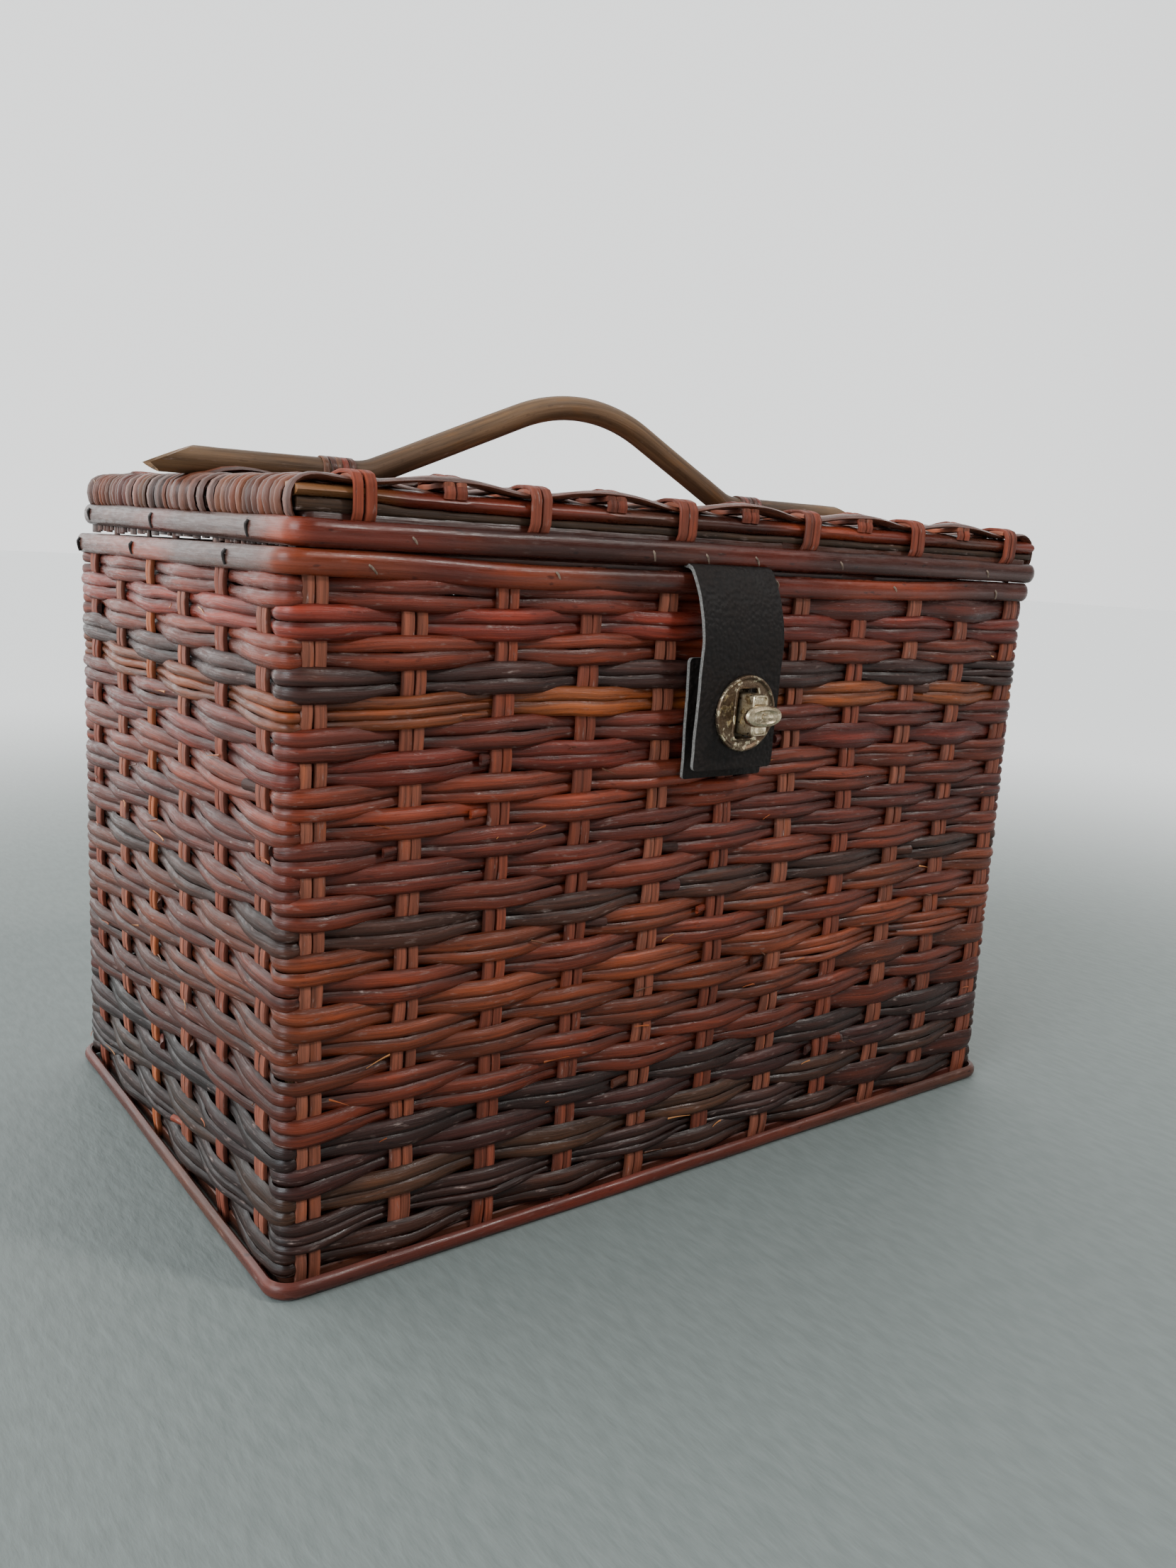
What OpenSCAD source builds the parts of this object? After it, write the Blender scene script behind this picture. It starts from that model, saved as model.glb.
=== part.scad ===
// Rectangular wicker hamper: split-willow walls and lid on flat stakes, half-round rims,
// a bent cane handle laid along the lid, leather hinges and a leather strap with a turn lock.
// Millimetres, +Z up. The origin is at the middle of the underside and the lock faces -Y.

/* [Body] */
// Width over the rim, left to right
body_w = 380; // [320:5:460]
// Depth over the rim, front to back
body_d = 240; // [200:5:300]
// Height from the table to the top of the body rim
body_h = 250; // [230:5:320]
// Thickness of the woven walls over both layers of skeins
weave_t = 6.4; // [5.6:0.2:7]
// Spacing of the stakes in the front and back walls
front_pitch = 35.4; // [30:0.2:36]
// Spacing of the stakes in the left and right walls
side_pitch = 39; // [34:1:40]

/* [Stakes] */
// Width of one flat strip; every stake is two of them side by side
strip_w = 3.9; // [3:0.1:4.2]
// Thickness of one flat strip
strip_t = 1.8; // [1.4:0.1:1.9]
// Radius of the round posts that stand in the corners
post_r = 3.5; // [3:0.25:4]

/* [Rims] */
// Thickness of the half-round rim strips
rim_t = 3.3; // [3:0.1:3.4]
// Height of the body's rim strips
body_rim_h = 8; // [7.5:0.5:9]
// Height of the lid's outer rim strip
lid_rim_h = 8.9; // [8:0.1:9.2]
// Radius of the rims' outer corners
rim_corner_r = 9; // [7:0.5:12]
// Height of the strip round the base
base_border_h = 6.5; // [6.5:0.5:8]
// Thickness of the strip round the base
base_border_t = 3.2; // [2.6:0.1:3.2]
// How far the base strip stands out past the rim
base_flare = 1.5; // [0:0.5:3]
// Diameter of the wire pins through the rims
pin_d = 1.4; // [1.2:0.1:1.8]

/* [Lid] */
// Gap between the body rim and the lid rim at the front
lid_gap = 0.6; // [0.6:0.1:1.5]
// Sideways offset at which the lid sits on the body
lid_shift = 3.5; // [0:0.5:4]
// Slope that leaves the back edge a little higher than the front
lid_tilt = 0.95; // [0:0.05:1.2]
// Depth of the split sticks that frame the lid
bar_d = 10; // [8:0.5:11]
// Spacing of the stakes in the lid
lid_pitch = 33; // [28:1:36]

/* [Handle] */
// Diameter of the cane
handle_d = 10.8; // [9:0.2:11]
// Height of the cane's centre line at the top of the arch, on a level lid
handle_top = 315.5; // [305:0.5:330]
// Slope of the arch's left side
left_slope = 22.7; // [20:0.1:28]
// Slope of the arch's right side
right_slope = 27; // [22:0.5:32]
// Bend radius at the top of the arch
top_bend_r = 82; // [70:1:95]
// Bend radius where the cane comes down to the lid
foot_bend_r = 25; // [20:1:30]

/* [Hinges] */
// Distance of each hinge from the middle
hinge_x = 110; // [90:1:120]
// Width of a hinge leather
hinge_w = 30; // [24:1:36]

/* [Latch] */
// Width of the strap and of the tab behind it
strap_w = 41; // [36:1:44]
// Thickness of the leather
leather_t = 1.8; // [1.6:0.1:2]
// Bend radius of the bow at the top of the strap
strap_bow_r = 49; // [44:1:54]
// Height of the strap's lower end
strap_end_z = 174; // [170:1:180]
// Centre of the lock from the middle of the basket
lock_x = -5.5; // [-20:0.5:20]
// Height of the lock's centre
lock_z = 196; // [192:1:200]
// Diameter of the eyelet plate
eyelet_d = 30; // [28:1:32]
// Length of the turn button
button_l = 18.4; // [16:0.2:18.8]
// Width of the turn button
button_w = 8.6; // [8:0.2:9.4]

/* [Hidden] */
$fn = 96;
gap = 0.1;            // between neighbouring pieces of one body
fit = 0.05;           // radial clearance of a shank in its hole
half_w = body_w / 2;
half_d = body_d / 2;
// Distance of the stakes' mid plane inside the rim's outer face
plane_in = rim_t + gap + strip_t / 2;
stake_x = half_w - plane_in;
stake_y = half_d - plane_in;
wall_x = stake_x + weave_t / 2;
wall_y = stake_y + weave_t / 2;
inner_x = stake_x - weave_t / 2;
inner_y = stake_y - weave_t / 2;
pair_w = 2 * strip_w + 0.2;
base_stick_d = 7;
base_stick_h = 9;
rim_z = body_h - body_rim_h;
inner_rim_h = 7;
lid_z = body_h + lid_gap;
lid_rim_top = lid_z + lid_rim_h;
bar_z = lid_rim_top + 1.5;
bar_h = 9.4;
lid_plane_z = bar_z + bar_h + 0.3 + strip_t / 2;
lid_top_z = lid_plane_z + weave_t / 2;
wrap_t = 1.8;
handle_r = handle_d / 2;
handle_x = -2.5;
tail_z = lid_plane_z + strip_t / 2 + 0.2 + handle_r;
left_tip_x = -196.5;
right_tip_x = 186.5;
tip_cut = 26;
cane_sides = 24;
binding_w = 14;
binding_t = 1.4;
hinge_leaf_y = half_d + 0.2;
hinge_drop = 37;
nail_r = 0.8;
nail_head_r = 2.6;
nail_head_t = 0.8;
strap_x = lock_x - 3;
tab_x = lock_x - 0.5;
tab_z = 169.5;
tab_h = 47;
tab_y = wall_y + 0.2;
bow_y = half_d + 10.4;
bow_z = body_h - 29;
bow_sweep = 33.5;
strap_lean = 2.7;
lock_plate_y = bow_y - (bow_z - lock_z) * tan(strap_lean);
slot_w = 10.4;
slot_h = 19.4;
sleeve_t = 0.5;
boss_w = 9.4;
boss_h = 16;
boss_end = half_d + 19.2;
base_disc_t = 1.5;
base_disc_y = tab_y + leather_t + gap / 2;
shaft_r = 1.5;
rivet_z = 10.6;
rivet_r = 1.15;
washer_t = 1;

WEAVE = [0.46, 0.24, 0.16];
DARK = [0.30, 0.17, 0.14];
STAKE = [0.55, 0.34, 0.24];
CANE = [0.50, 0.39, 0.25];
LEATHER = [0.13, 0.11, 0.10];
BRASS = [0.60, 0.53, 0.34];

// ---- shapes used more than once ----

// A box from its lowest to its highest corner
module block(low, high) {
  translate(low) cube(high - low);
}

// A disc or stadium stands in the XZ plane and grows towards -Y from y = 0
module disc_y(r, t) {
  rotate([90, 0, 0]) cylinder(r = r, h = t);
}

module stadium_y(w, h, t) {
  straight = (h - w) / 2;
  rotate([90, 0, 0]) {
    translate([-w / 2, -straight, 0]) cube([w, 2 * straight, t]);
    for (side = [-1, 1]) translate([0, side * straight, 0]) cylinder(d = w, h = t);
  }
}

// A plate with four round corners in the XZ plane, its lower edge at z = 0
module rounded_plate_y(w, h, r, t) {
  rotate([90, 0, 0]) {
    translate([-w / 2, r, 0]) cube([w, h - 2 * r, t]);
    translate([-w / 2 + r, 0, 0]) cube([w - 2 * r, h, t]);
    for (x = [-w / 2 + r, w / 2 - r], z = [r, h - r]) translate([x, z, 0]) cylinder(r = r, h = t);
  }
}

// Section of a half-round strip: flat side on x = 0 from y = 0 to y = h, bulging to x = t,
// where t is less than half of h
module half_round(h, t) {
  r = (h * h / 4 + t * t) / (2 * t);
  intersection() {
    translate([t - r, h / 2]) circle(r = r);
    translate([0, -h]) square([2 * h, 3 * h]);
  }
}

module half_round_inward(h, t) {
  mirror([1, 0]) half_round(h, t);
}

// A strip bent round a rectangle. flat_x and flat_y are half the size over its flat side
// and corner_r is the flat side's corner radius. Children are the strip's section.
module strip_loop(flat_x, flat_y, corner_r) {
  run_x = flat_x - corner_r;
  run_y = flat_y - corner_r;
  for (side = [0, 180]) rotate([0, 0, side]) {
    translate([flat_x, run_y, 0]) rotate([90, 0, 0]) linear_extrude(2 * run_y) children();
    translate([run_x, flat_y, 0]) rotate([90, 0, 90]) mirror([0, 0, 1])
      linear_extrude(2 * run_x) children();
    translate([run_x, run_y, 0]) rotate_extrude(angle = 90) translate([corner_r, 0]) children();
    translate([-run_x, run_y, 0]) rotate([0, 0, 90])
      rotate_extrude(angle = 90) translate([corner_r, 0]) children();
  }
}

// Two flat strips side by side along Z, centred on x = 0
module stake_pair(low, high) {
  for (side = [-1, 1]) {
    centre = side * (pair_w - strip_w) / 2;
    block([centre - strip_w / 2, -strip_t / 2, low], [centre + strip_w / 2, strip_t / 2, high]);
  }
}

// The channel in which a pair of strips lies
module stake_slot(low, high) {
  block([-pair_w / 2 - gap, -strip_t / 2 - gap, low - 1], [pair_w / 2 + gap, strip_t / 2 + gap, high + 1]);
}

module front_places() {
  for (i = [-5:5]) translate([i * front_pitch, 0, 0]) children();
}

module side_places() {
  for (i = [-2.5:2.5]) translate([0, i * side_pitch, 0]) rotate([0, 0, 90]) children();
}

// Pins or their holes through both rim strips, at height z. The front ones stand at xs,
// the back ones at the same places turned half way round, the side ones between the stakes.
module rim_pin_set(r, z, xs) {
  reach = 2 * rim_t + strip_t + 3 * gap;
  for (side = [0, 180]) rotate([0, 0, side]) {
    for (x = xs) translate([x, -half_d - 0.4, z]) rotate([-90, 0, 0]) cylinder(r = r, h = reach);
    for (i = [-1:1]) translate([-half_w - 0.4, 2 * side_pitch * i, z])
      rotate([0, 90, 0]) cylinder(r = r, h = reach);
  }
}

// Places things that belong to the lid, drawn as if the lid lay level and centred
module on_lid() {
  translate([lid_shift, -half_d, lid_z]) rotate([lid_tilt, 0, 0]) translate([0, half_d, -lid_z])
    children();
}

// Places things on the straight part of the strap, with y = 0 on its middle
module on_strap() {
  translate([lock_x, -lock_plate_y, lock_z]) rotate([strap_lean, 0, 0]) children();
}

// ---- basket: base ----

module base_panel() {
  color(DARK) block([-inner_x + base_stick_d + 0.3, -inner_y + base_stick_d + 0.3, 0],
                    [inner_x - base_stick_d - 0.3, inner_y - base_stick_d - 0.3, weave_t]);
}

// The long sticks run the full width and the short ones stand between them
module base_long_stick() {
  color(CANE) block([-inner_x + 0.2, -inner_y + 0.2, 0],
                    [inner_x - 0.2, -inner_y + 0.2 + base_stick_d, base_stick_h]);
}

module base_short_stick() {
  run_y = inner_y - base_stick_d - 0.3;
  color(CANE) block([-inner_x + 0.2, -run_y, 0],
                    [-inner_x + 0.2 + base_stick_d, run_y, base_stick_h]);
}

module base_front_stick() base_long_stick();
module base_back_stick() rotate([0, 0, 180]) base_long_stick();
module base_left_stick() base_short_stick();
module base_right_stick() rotate([0, 0, 180]) base_short_stick();

module base_border() {
  flat = base_flare - base_border_t;
  color(WEAVE) strip_loop(half_w + flat, half_d + flat, rim_corner_r + flat)
    half_round(base_border_h, base_border_t);
}

// ---- basket: walls ----

// The front wall carries both rounded corners, so the side walls fit between the long ones
module long_wall() {
  round_r = weave_t - 0.2;
  difference() {
    union() {
      block([-wall_x + round_r, -wall_y, base_border_h + gap], [wall_x - round_r, -inner_y, rim_z - gap]);
      for (side = [-1, 1]) intersection() {
        translate([side * (wall_x - round_r), -wall_y + round_r, base_border_h + gap])
          cylinder(r = round_r, h = rim_z - base_border_h - 2 * gap);
        translate([side * wall_x, 0, 0])
          block([-round_r - 0.1, -wall_y - 1, 0], [round_r + 0.1, -inner_y, body_h]);
      }
    }
    translate([0, -stake_y, 0]) front_places() stake_slot(0, body_h);
    children();
  }
}

module short_wall() {
  difference() {
    block([-wall_x, -inner_y + gap, base_border_h + gap], [-inner_x, inner_y - gap, rim_z - gap]);
    translate([-stake_x, 0, 0]) side_places() stake_slot(0, body_h);
  }
}

module front_weave() color(WEAVE) long_wall() rivet_shanks(rivet_r + fit);
module back_weave() color(WEAVE) rotate([0, 0, 180]) long_wall()
  rotate([0, 0, 180]) lower_nail_shanks(nail_r + fit);
module left_weave() color(WEAVE) short_wall();
module right_weave() color(WEAVE) rotate([0, 0, 180]) short_wall();

module wall_stake() stake_pair(0.6, body_h - 0.6);

module front_stakes() color(STAKE) translate([0, -stake_y, 0]) front_places() wall_stake();
module back_stakes() color(STAKE) translate([0, stake_y, 0]) front_places() wall_stake();
module left_stakes() color(STAKE) translate([-stake_x, 0, 0]) side_places() wall_stake();
module right_stakes() color(STAKE) translate([stake_x, 0, 0]) side_places() wall_stake();

module corner_post(side_x, side_y) {
  inset = post_r + 0.4;
  color(CANE) translate([side_x * (inner_x - inset), side_y * (inner_y - inset), base_stick_h + gap])
    cylinder(r = post_r, h = rim_z - base_stick_h);
}

module corner_post_front_left() corner_post(-1, -1);
module corner_post_front_right() corner_post(1, -1);
module corner_post_back_left() corner_post(-1, 1);
module corner_post_back_right() corner_post(1, 1);

// ---- basket: rim ----

BODY_PIN_X = [for (i = [0, 2, 4], side = [-1, 1]) side * (i + 0.5) * front_pitch];

module body_pins(r) rim_pin_set(r, rim_z + body_rim_h / 2, BODY_PIN_X);

module body_rim_outer() {
  color(WEAVE) difference() {
    translate([0, 0, rim_z])
      strip_loop(half_w - rim_t, half_d - rim_t, rim_corner_r - rim_t) half_round(body_rim_h, rim_t);
    body_pins(pin_d / 2 + fit);
    lower_nail_shanks(nail_r + fit);
  }
}

module body_rim_inner() {
  flat_x = stake_x - strip_t / 2 - gap;
  flat_y = stake_y - strip_t / 2 - gap;
  color(WEAVE) difference() {
    translate([0, 0, body_h - inner_rim_h])
      strip_loop(flat_x, flat_y, rim_t + 1) half_round_inward(inner_rim_h, rim_t);
    body_pins(pin_d / 2 + fit);
  }
}

module body_rim_pins() color(BRASS) body_pins(pin_d / 2);

// ---- hinges ----

// Shanks of the three nails of each lower leaf: two in the rim and one in the wall
module lower_nail_shanks(r, length = 5.2) {
  for (side = [-1, 1]) translate([side * hinge_x, hinge_leaf_y + leather_t, 0])
    for (at = [[-8, body_h - 4], [8, body_h - 4], [0, body_h - 28]])
      translate([at[0], 0, at[1]]) rotate([90, 0, 0]) cylinder(r = r, h = length);
}

module lower_nail_heads() {
  for (side = [-1, 1]) translate([side * hinge_x, hinge_leaf_y + leather_t + nail_head_t, 0])
    for (at = [[-8, body_h - 4], [8, body_h - 4], [0, body_h - 28]])
      translate([at[0], 0, at[1]]) disc_y(nail_head_r, nail_head_t);
}

// Shanks of the three nails of each upper leaf: two in the rim and one in the back bar
module upper_nail_shanks(r) {
  for (side = [-1, 1]) translate([side * hinge_x - lid_shift, hinge_leaf_y + leather_t, 0])
    for (at = [[-8, lid_z + 4.4, 5.2], [8, lid_z + 4.4, 5.2], [0, bar_z + bar_h / 2, 9]])
      translate([at[0], 0, at[1]]) rotate([90, 0, 0]) cylinder(r = r, h = at[2]);
}

module upper_nail_heads() {
  for (side = [-1, 1])
    translate([side * hinge_x - lid_shift, hinge_leaf_y + leather_t + nail_head_t, 0])
      for (at = [[-8, lid_z + 4.4], [8, lid_z + 4.4], [0, bar_z + bar_h / 2]])
        translate([at[0], 0, at[1]]) disc_y(nail_head_r, nail_head_t);
}

module hinge_lower(side) {
  low = body_h - hinge_drop;
  color(LEATHER) difference() {
    translate([side * hinge_x, hinge_leaf_y + leather_t, low])
      rounded_plate_y(hinge_w, body_h - 0.2 - low, 2, leather_t);
    lower_nail_shanks(nail_r + fit);
  }
}

module hinge_upper(side) {
  low = lid_z + 0.8;
  color(LEATHER) on_lid() difference() {
    translate([side * hinge_x - lid_shift, hinge_leaf_y + leather_t, low])
      rounded_plate_y(hinge_w, bar_z + bar_h - low, 2, leather_t);
    upper_nail_shanks(nail_r + fit);
  }
}

module hinge_lower_left() hinge_lower(-1);
module hinge_lower_right() hinge_lower(1);
module hinge_upper_left() hinge_upper(-1);
module hinge_upper_right() hinge_upper(1);

module hinge_lower_nails() color(BRASS) {
  lower_nail_shanks(nail_r, 5);
  lower_nail_heads();
}

module hinge_upper_nails() color(BRASS) on_lid() {
  upper_nail_shanks(nail_r);
  upper_nail_heads();
}

// ---- latch: the half on the wall ----

module rivet_shanks(r) {
  for (side = [-1, 1]) translate([lock_x, -base_disc_y - base_disc_t, lock_z + side * rivet_z])
    rotate([-90, 0, 0]) cylinder(r = r, h = base_disc_y + base_disc_t - inner_y + gap + washer_t);
}

module latch_tab() {
  color(LEATHER) difference() {
    translate([tab_x, -tab_y, tab_z]) rounded_plate_y(strap_w, tab_h, 4, leather_t);
    rivet_shanks(rivet_r + fit);
  }
}

module latch_base() {
  color(BRASS) difference() {
    union() {
      translate([lock_x, -base_disc_y, lock_z]) disc_y(13, base_disc_t);
      translate([lock_x, -base_disc_y, lock_z]) stadium_y(boss_w, boss_h, boss_end - base_disc_y);
    }
    rivet_shanks(rivet_r + fit);
    translate([lock_x, -boss_end - 1, lock_z]) rotate([-90, 0, 0])
      cylinder(r = shaft_r + fit, h = 9);
  }
}

module latch_rivets() {
  color(BRASS) {
    rivet_shanks(rivet_r);
    for (side = [-1, 1]) translate([lock_x, -base_disc_y - base_disc_t, lock_z + side * rivet_z])
      disc_y(1.9, 0.8);
  }
}

module latch_washer() {
  color(BRASS) difference() {
    translate([lock_x, -inner_y + gap + washer_t, lock_z]) disc_y(14, washer_t);
    rivet_shanks(rivet_r + fit);
  }
}

// The button lies across the slot when locked and along it when open
module turn_button() {
  color(BRASS) translate([lock_x, -boss_end - gap, lock_z]) {
    rotate([0, 90, 0]) stadium_y(button_w, button_l, 2);
    translate([0, -2, 0]) rotate([0, 90, 0]) stadium_y(button_w - 3, button_l - 4, 1);
    rotate([-90, 0, 0]) cylinder(r = shaft_r, h = 7.5);
  }
}

// ---- latch: the half on the strap ----

// Side view of the strap's bow and straight leg, as [distance towards -Y, height]
module strap_profile() {
  centre_y = bow_y - strap_bow_r;
  leg = (bow_z - strap_end_z) / cos(strap_lean);
  intersection() {
    translate([centre_y, bow_z]) difference() {
      circle(r = strap_bow_r + leather_t / 2, $fn = 180);
      circle(r = strap_bow_r - leather_t / 2, $fn = 180);
    }
    translate([centre_y, bow_z]) polygon([
      [0, 0], [2 * strap_bow_r, 0],
      [2 * strap_bow_r, 2 * strap_bow_r * tan(bow_sweep)]]);
  }
  translate([bow_y, bow_z]) rotate(-strap_lean) translate([-leather_t / 2, -leg])
    square([leather_t, leg + 0.02]);
}

module latch_strap() {
  color(LEATHER) difference() {
    intersection() {
      translate([strap_x - strap_w / 2, 0, 0]) rotate([90, 0, -90]) mirror([0, 0, 1])
        linear_extrude(strap_w) strap_profile();
      translate([strap_x, -half_d, strap_end_z - 0.2])
        rounded_plate_y(strap_w, body_h, 4, bow_y);
    }
    on_strap() translate([0, 5, 0])
      stadium_y(slot_w + 2 * sleeve_t + 0.2, slot_h + 2 * sleeve_t + 0.2, 10);
  }
}

module eyelet_plate() {
  front = leather_t / 2 + gap;
  color(BRASS) on_strap() difference() {
    union() {
      translate([0, -front, 0]) disc_y(eyelet_d / 2, 1.1);
      translate([0, -front - 1.1, 0]) difference() {
        disc_y(eyelet_d / 2, 0.6);
        translate([0, 1, 0]) disc_y(eyelet_d / 2 - 1.7, 3);
      }
      translate([0, front + 1, 0])
        stadium_y(slot_w + 2 * sleeve_t, slot_h + 2 * sleeve_t, 2 * front + 1);
    }
    translate([0, 5, 0]) stadium_y(slot_w, slot_h, 12);
  }
}

module eyelet_back_plate() {
  back = leather_t / 2 + gap;
  color(BRASS) on_strap() difference() {
    translate([0, back + 1, 0]) disc_y(13, 1);
    translate([0, 5, 0]) stadium_y(slot_w + 2 * sleeve_t + 0.2, slot_h + 2 * sleeve_t + 0.2, 10);
  }
}

// The end of the strap that is nailed between the lid's rim strips
module strap_anchor() {
  x = strap_x - lid_shift;
  low = lid_z - 0.35;
  back = stake_y - strip_t / 2;
  color(LEATHER) on_lid() difference() {
    union() {
      block([x - strap_w / 2, -back - strip_t + 0.05, low], [x + strap_w / 2, -back - 0.05, lid_rim_top]);
      block([x - strap_w / 2, -half_d - 0.4, low], [x + strap_w / 2, -back - 0.05, low + leather_t]);
    }
    lid_pins(pin_d / 2 + fit);
  }
}

// ---- lid: weave ----

module lid_places() {
  for (i = [-5:5]) translate([i * lid_pitch, 0, lid_plane_z]) rotate([90, 0, 0]) children();
}

// Grooves in the top of the weave, in which the cane's straight tails lie. They run on until
// the cane has risen clear of the weave.
module tail_grooves(r) {
  past_foot = foot_bend_r / 2;
  translate([left_tip_x, 0, tail_z]) rotate([0, 90, 0])
    cylinder(r = r, h = left_foot_x - left_tip_x + past_foot);
  translate([right_foot_x - past_foot, 0, tail_z]) rotate([0, 90, 0])
    cylinder(r = r, h = right_tip_x - right_foot_x + past_foot);
}

module lid_weave() {
  out_x = half_w - rim_t - gap + wrap_t;
  bar_x = out_x - wrap_t - bar_d - 0.2;
  out_y = half_d - rim_t - gap;
  bar_y = out_y - bar_d - 0.2;
  color(WEAVE) on_lid() difference() {
    union() {
      block([-bar_x, -bar_y, lid_plane_z - weave_t / 2], [bar_x, bar_y, lid_top_z]);
      block([-out_x, -out_y, lid_plane_z - strip_t / 2], [out_x, out_y, lid_top_z]);
    }
    lid_places() stake_slot(-half_d, half_d);
    tail_grooves(handle_r + 0.3);
  }
}

module lid_stakes() {
  end_y = half_d - rim_t - gap - 0.2;
  color(STAKE) on_lid() lid_places() stake_pair(-end_y, end_y);
}

// Ends of the lid's skeins: down over the end bar, then tucked behind the rim strip
module lid_wrap() {
  end_y = half_d - rim_t - bar_d;
  tuck = half_w - rim_t - gap;
  jog_z = lid_rim_top + gap;
  block([-tuck - wrap_t, -end_y, jog_z], [-tuck - gap, end_y, bar_z + bar_h]);
  block([-tuck - wrap_t, -end_y, jog_z], [-tuck + strip_t - 0.1, end_y, bar_z - gap]);
  block([-tuck + 0.1, -end_y, lid_z + 1.4], [-tuck + strip_t - 0.1, end_y, bar_z - gap]);
}

module lid_left_wrap() {
  color(WEAVE) on_lid() difference() {
    lid_wrap();
    lid_pins(pin_d / 2 + fit);
  }
}

module lid_right_wrap() {
  color(WEAVE) on_lid() difference() {
    rotate([0, 0, 180]) lid_wrap();
    lid_pins(pin_d / 2 + fit);
  }
}

// Every second stake is doubled by a lashing round the front or back bar
module lid_lashing_set() {
  tuck = half_d - rim_t - gap;
  jog_z = lid_rim_top + gap;
  for (i = [-5, -3, -1, 1, 3, 5]) translate([i * lid_pitch, 0, 0]) {
    block([-pair_w / 2, -tuck - wrap_t, jog_z], [pair_w / 2, -tuck - gap, lid_plane_z + strip_t / 2]);
    block([-pair_w / 2, -tuck - wrap_t, jog_z], [pair_w / 2, -tuck + strip_t - 0.1, bar_z - gap]);
    block([-pair_w / 2, -tuck + 0.1, lid_z + 1.4], [pair_w / 2, -tuck + strip_t - 0.1, bar_z - gap]);
  }
}

// The lashing beside the strap is trimmed where the strap's nailed end takes its place
module lid_front_lashings() {
  x = strap_x - lid_shift;
  color(STAKE) on_lid() difference() {
    lid_lashing_set();
    block([x - strap_w / 2 - gap, -half_d, lid_z], [x + strap_w / 2 + gap, -inner_y, lid_rim_top + gap]);
  }
}
module lid_back_lashings() color(STAKE) on_lid() rotate([0, 0, 180]) lid_lashing_set();

// ---- lid: frame ----

module lid_long_bar() {
  out_y = half_d - rim_t - gap;
  run_x = half_w - rim_t - gap;
  block([-run_x, -out_y, bar_z], [run_x, -out_y + bar_d, bar_z + bar_h]);
}

module lid_short_bar() {
  out_x = half_w - rim_t - gap;
  run_y = half_d - rim_t - bar_d - 0.3;
  block([-out_x, -run_y, bar_z], [-out_x + bar_d, run_y, bar_z + bar_h]);
}

module lid_front_bar() color(CANE) on_lid() lid_long_bar();

module lid_back_bar() {
  color(CANE) on_lid() difference() {
    rotate([0, 0, 180]) lid_long_bar();
    upper_nail_shanks(nail_r + fit);
  }
}

module lid_left_bar() color(CANE) on_lid() lid_short_bar();
module lid_right_bar() color(CANE) on_lid() rotate([0, 0, 180]) lid_short_bar();

// ---- lid: rim ----

LID_PIN_X = [-148, -50, -24, 2, 50, 148];

module lid_pins(r) rim_pin_set(r, lid_z + lid_rim_h / 2, LID_PIN_X);

module lid_rim_outer() {
  notch_x = strap_x - lid_shift;
  color(WEAVE) on_lid() difference() {
    translate([0, 0, lid_z])
      strip_loop(half_w - rim_t, half_d - rim_t, rim_corner_r - rim_t) half_round(lid_rim_h, rim_t);
    block([notch_x - strap_w / 2 - 0.3, -half_d - 1, lid_z - 1],
          [notch_x + strap_w / 2 + 0.3, -half_d + rim_t + 1, lid_z - 0.35 + leather_t + gap]);
    lid_pins(pin_d / 2 + fit);
    upper_nail_shanks(nail_r + fit);
  }
}

module lid_rim_inner() {
  flat_x = stake_x - strip_t / 2 - gap;
  flat_y = stake_y - strip_t / 2 - gap;
  color(WEAVE) on_lid() difference() {
    translate([0, 0, lid_z + 1])
      strip_loop(flat_x, flat_y, rim_t + 1) half_round_inward(bar_z - gap - lid_z - 1, rim_t);
    lid_pins(pin_d / 2 + fit);
  }
}

module lid_rim_pins() color(BRASS) on_lid() lid_pins(pin_d / 2);

// ---- handle ----

// Rise of the straight flank between the two bends of one side
function flank_rise(slope) =
  handle_top - tail_z - (top_bend_r + foot_bend_r) * (1 - cos(slope));
// Reach of one side, from the top of the arch to where the cane lies level
function arch_reach(slope) =
  (top_bend_r + foot_bend_r) * sin(slope) + flank_rise(slope) / tan(slope);

left_foot_x = handle_x - arch_reach(left_slope);
right_foot_x = handle_x + arch_reach(right_slope);

// The cane's centre line from left to right, as [x, z, slope of the cane]
CANE_PATH = concat(
  [[left_tip_x, tail_z, 0]],
  [for (i = [0:5]) let (a = left_slope * i / 5)
    [left_foot_x + foot_bend_r * sin(a), tail_z + foot_bend_r * (1 - cos(a)), a]],
  [for (i = [0:20]) let (a = left_slope - (left_slope + right_slope) * i / 20)
    [handle_x - top_bend_r * sin(a), handle_top - top_bend_r * (1 - cos(a)), a]],
  [for (i = [5:-1:0]) let (a = right_slope * i / 5)
    [right_foot_x - foot_bend_r * sin(a), tail_z + foot_bend_r * (1 - cos(a)), -a]],
  [[right_tip_x, tail_z, 0]]);

// Each end is cut on the slant: how far a point at height z above the cane's underside steps in
function tip_step(ring, rise) =
  ring == 0 ? rise / tan(tip_cut) : ring == len(CANE_PATH) - 1 ? -rise / tan(tip_cut) : 0;

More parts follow.
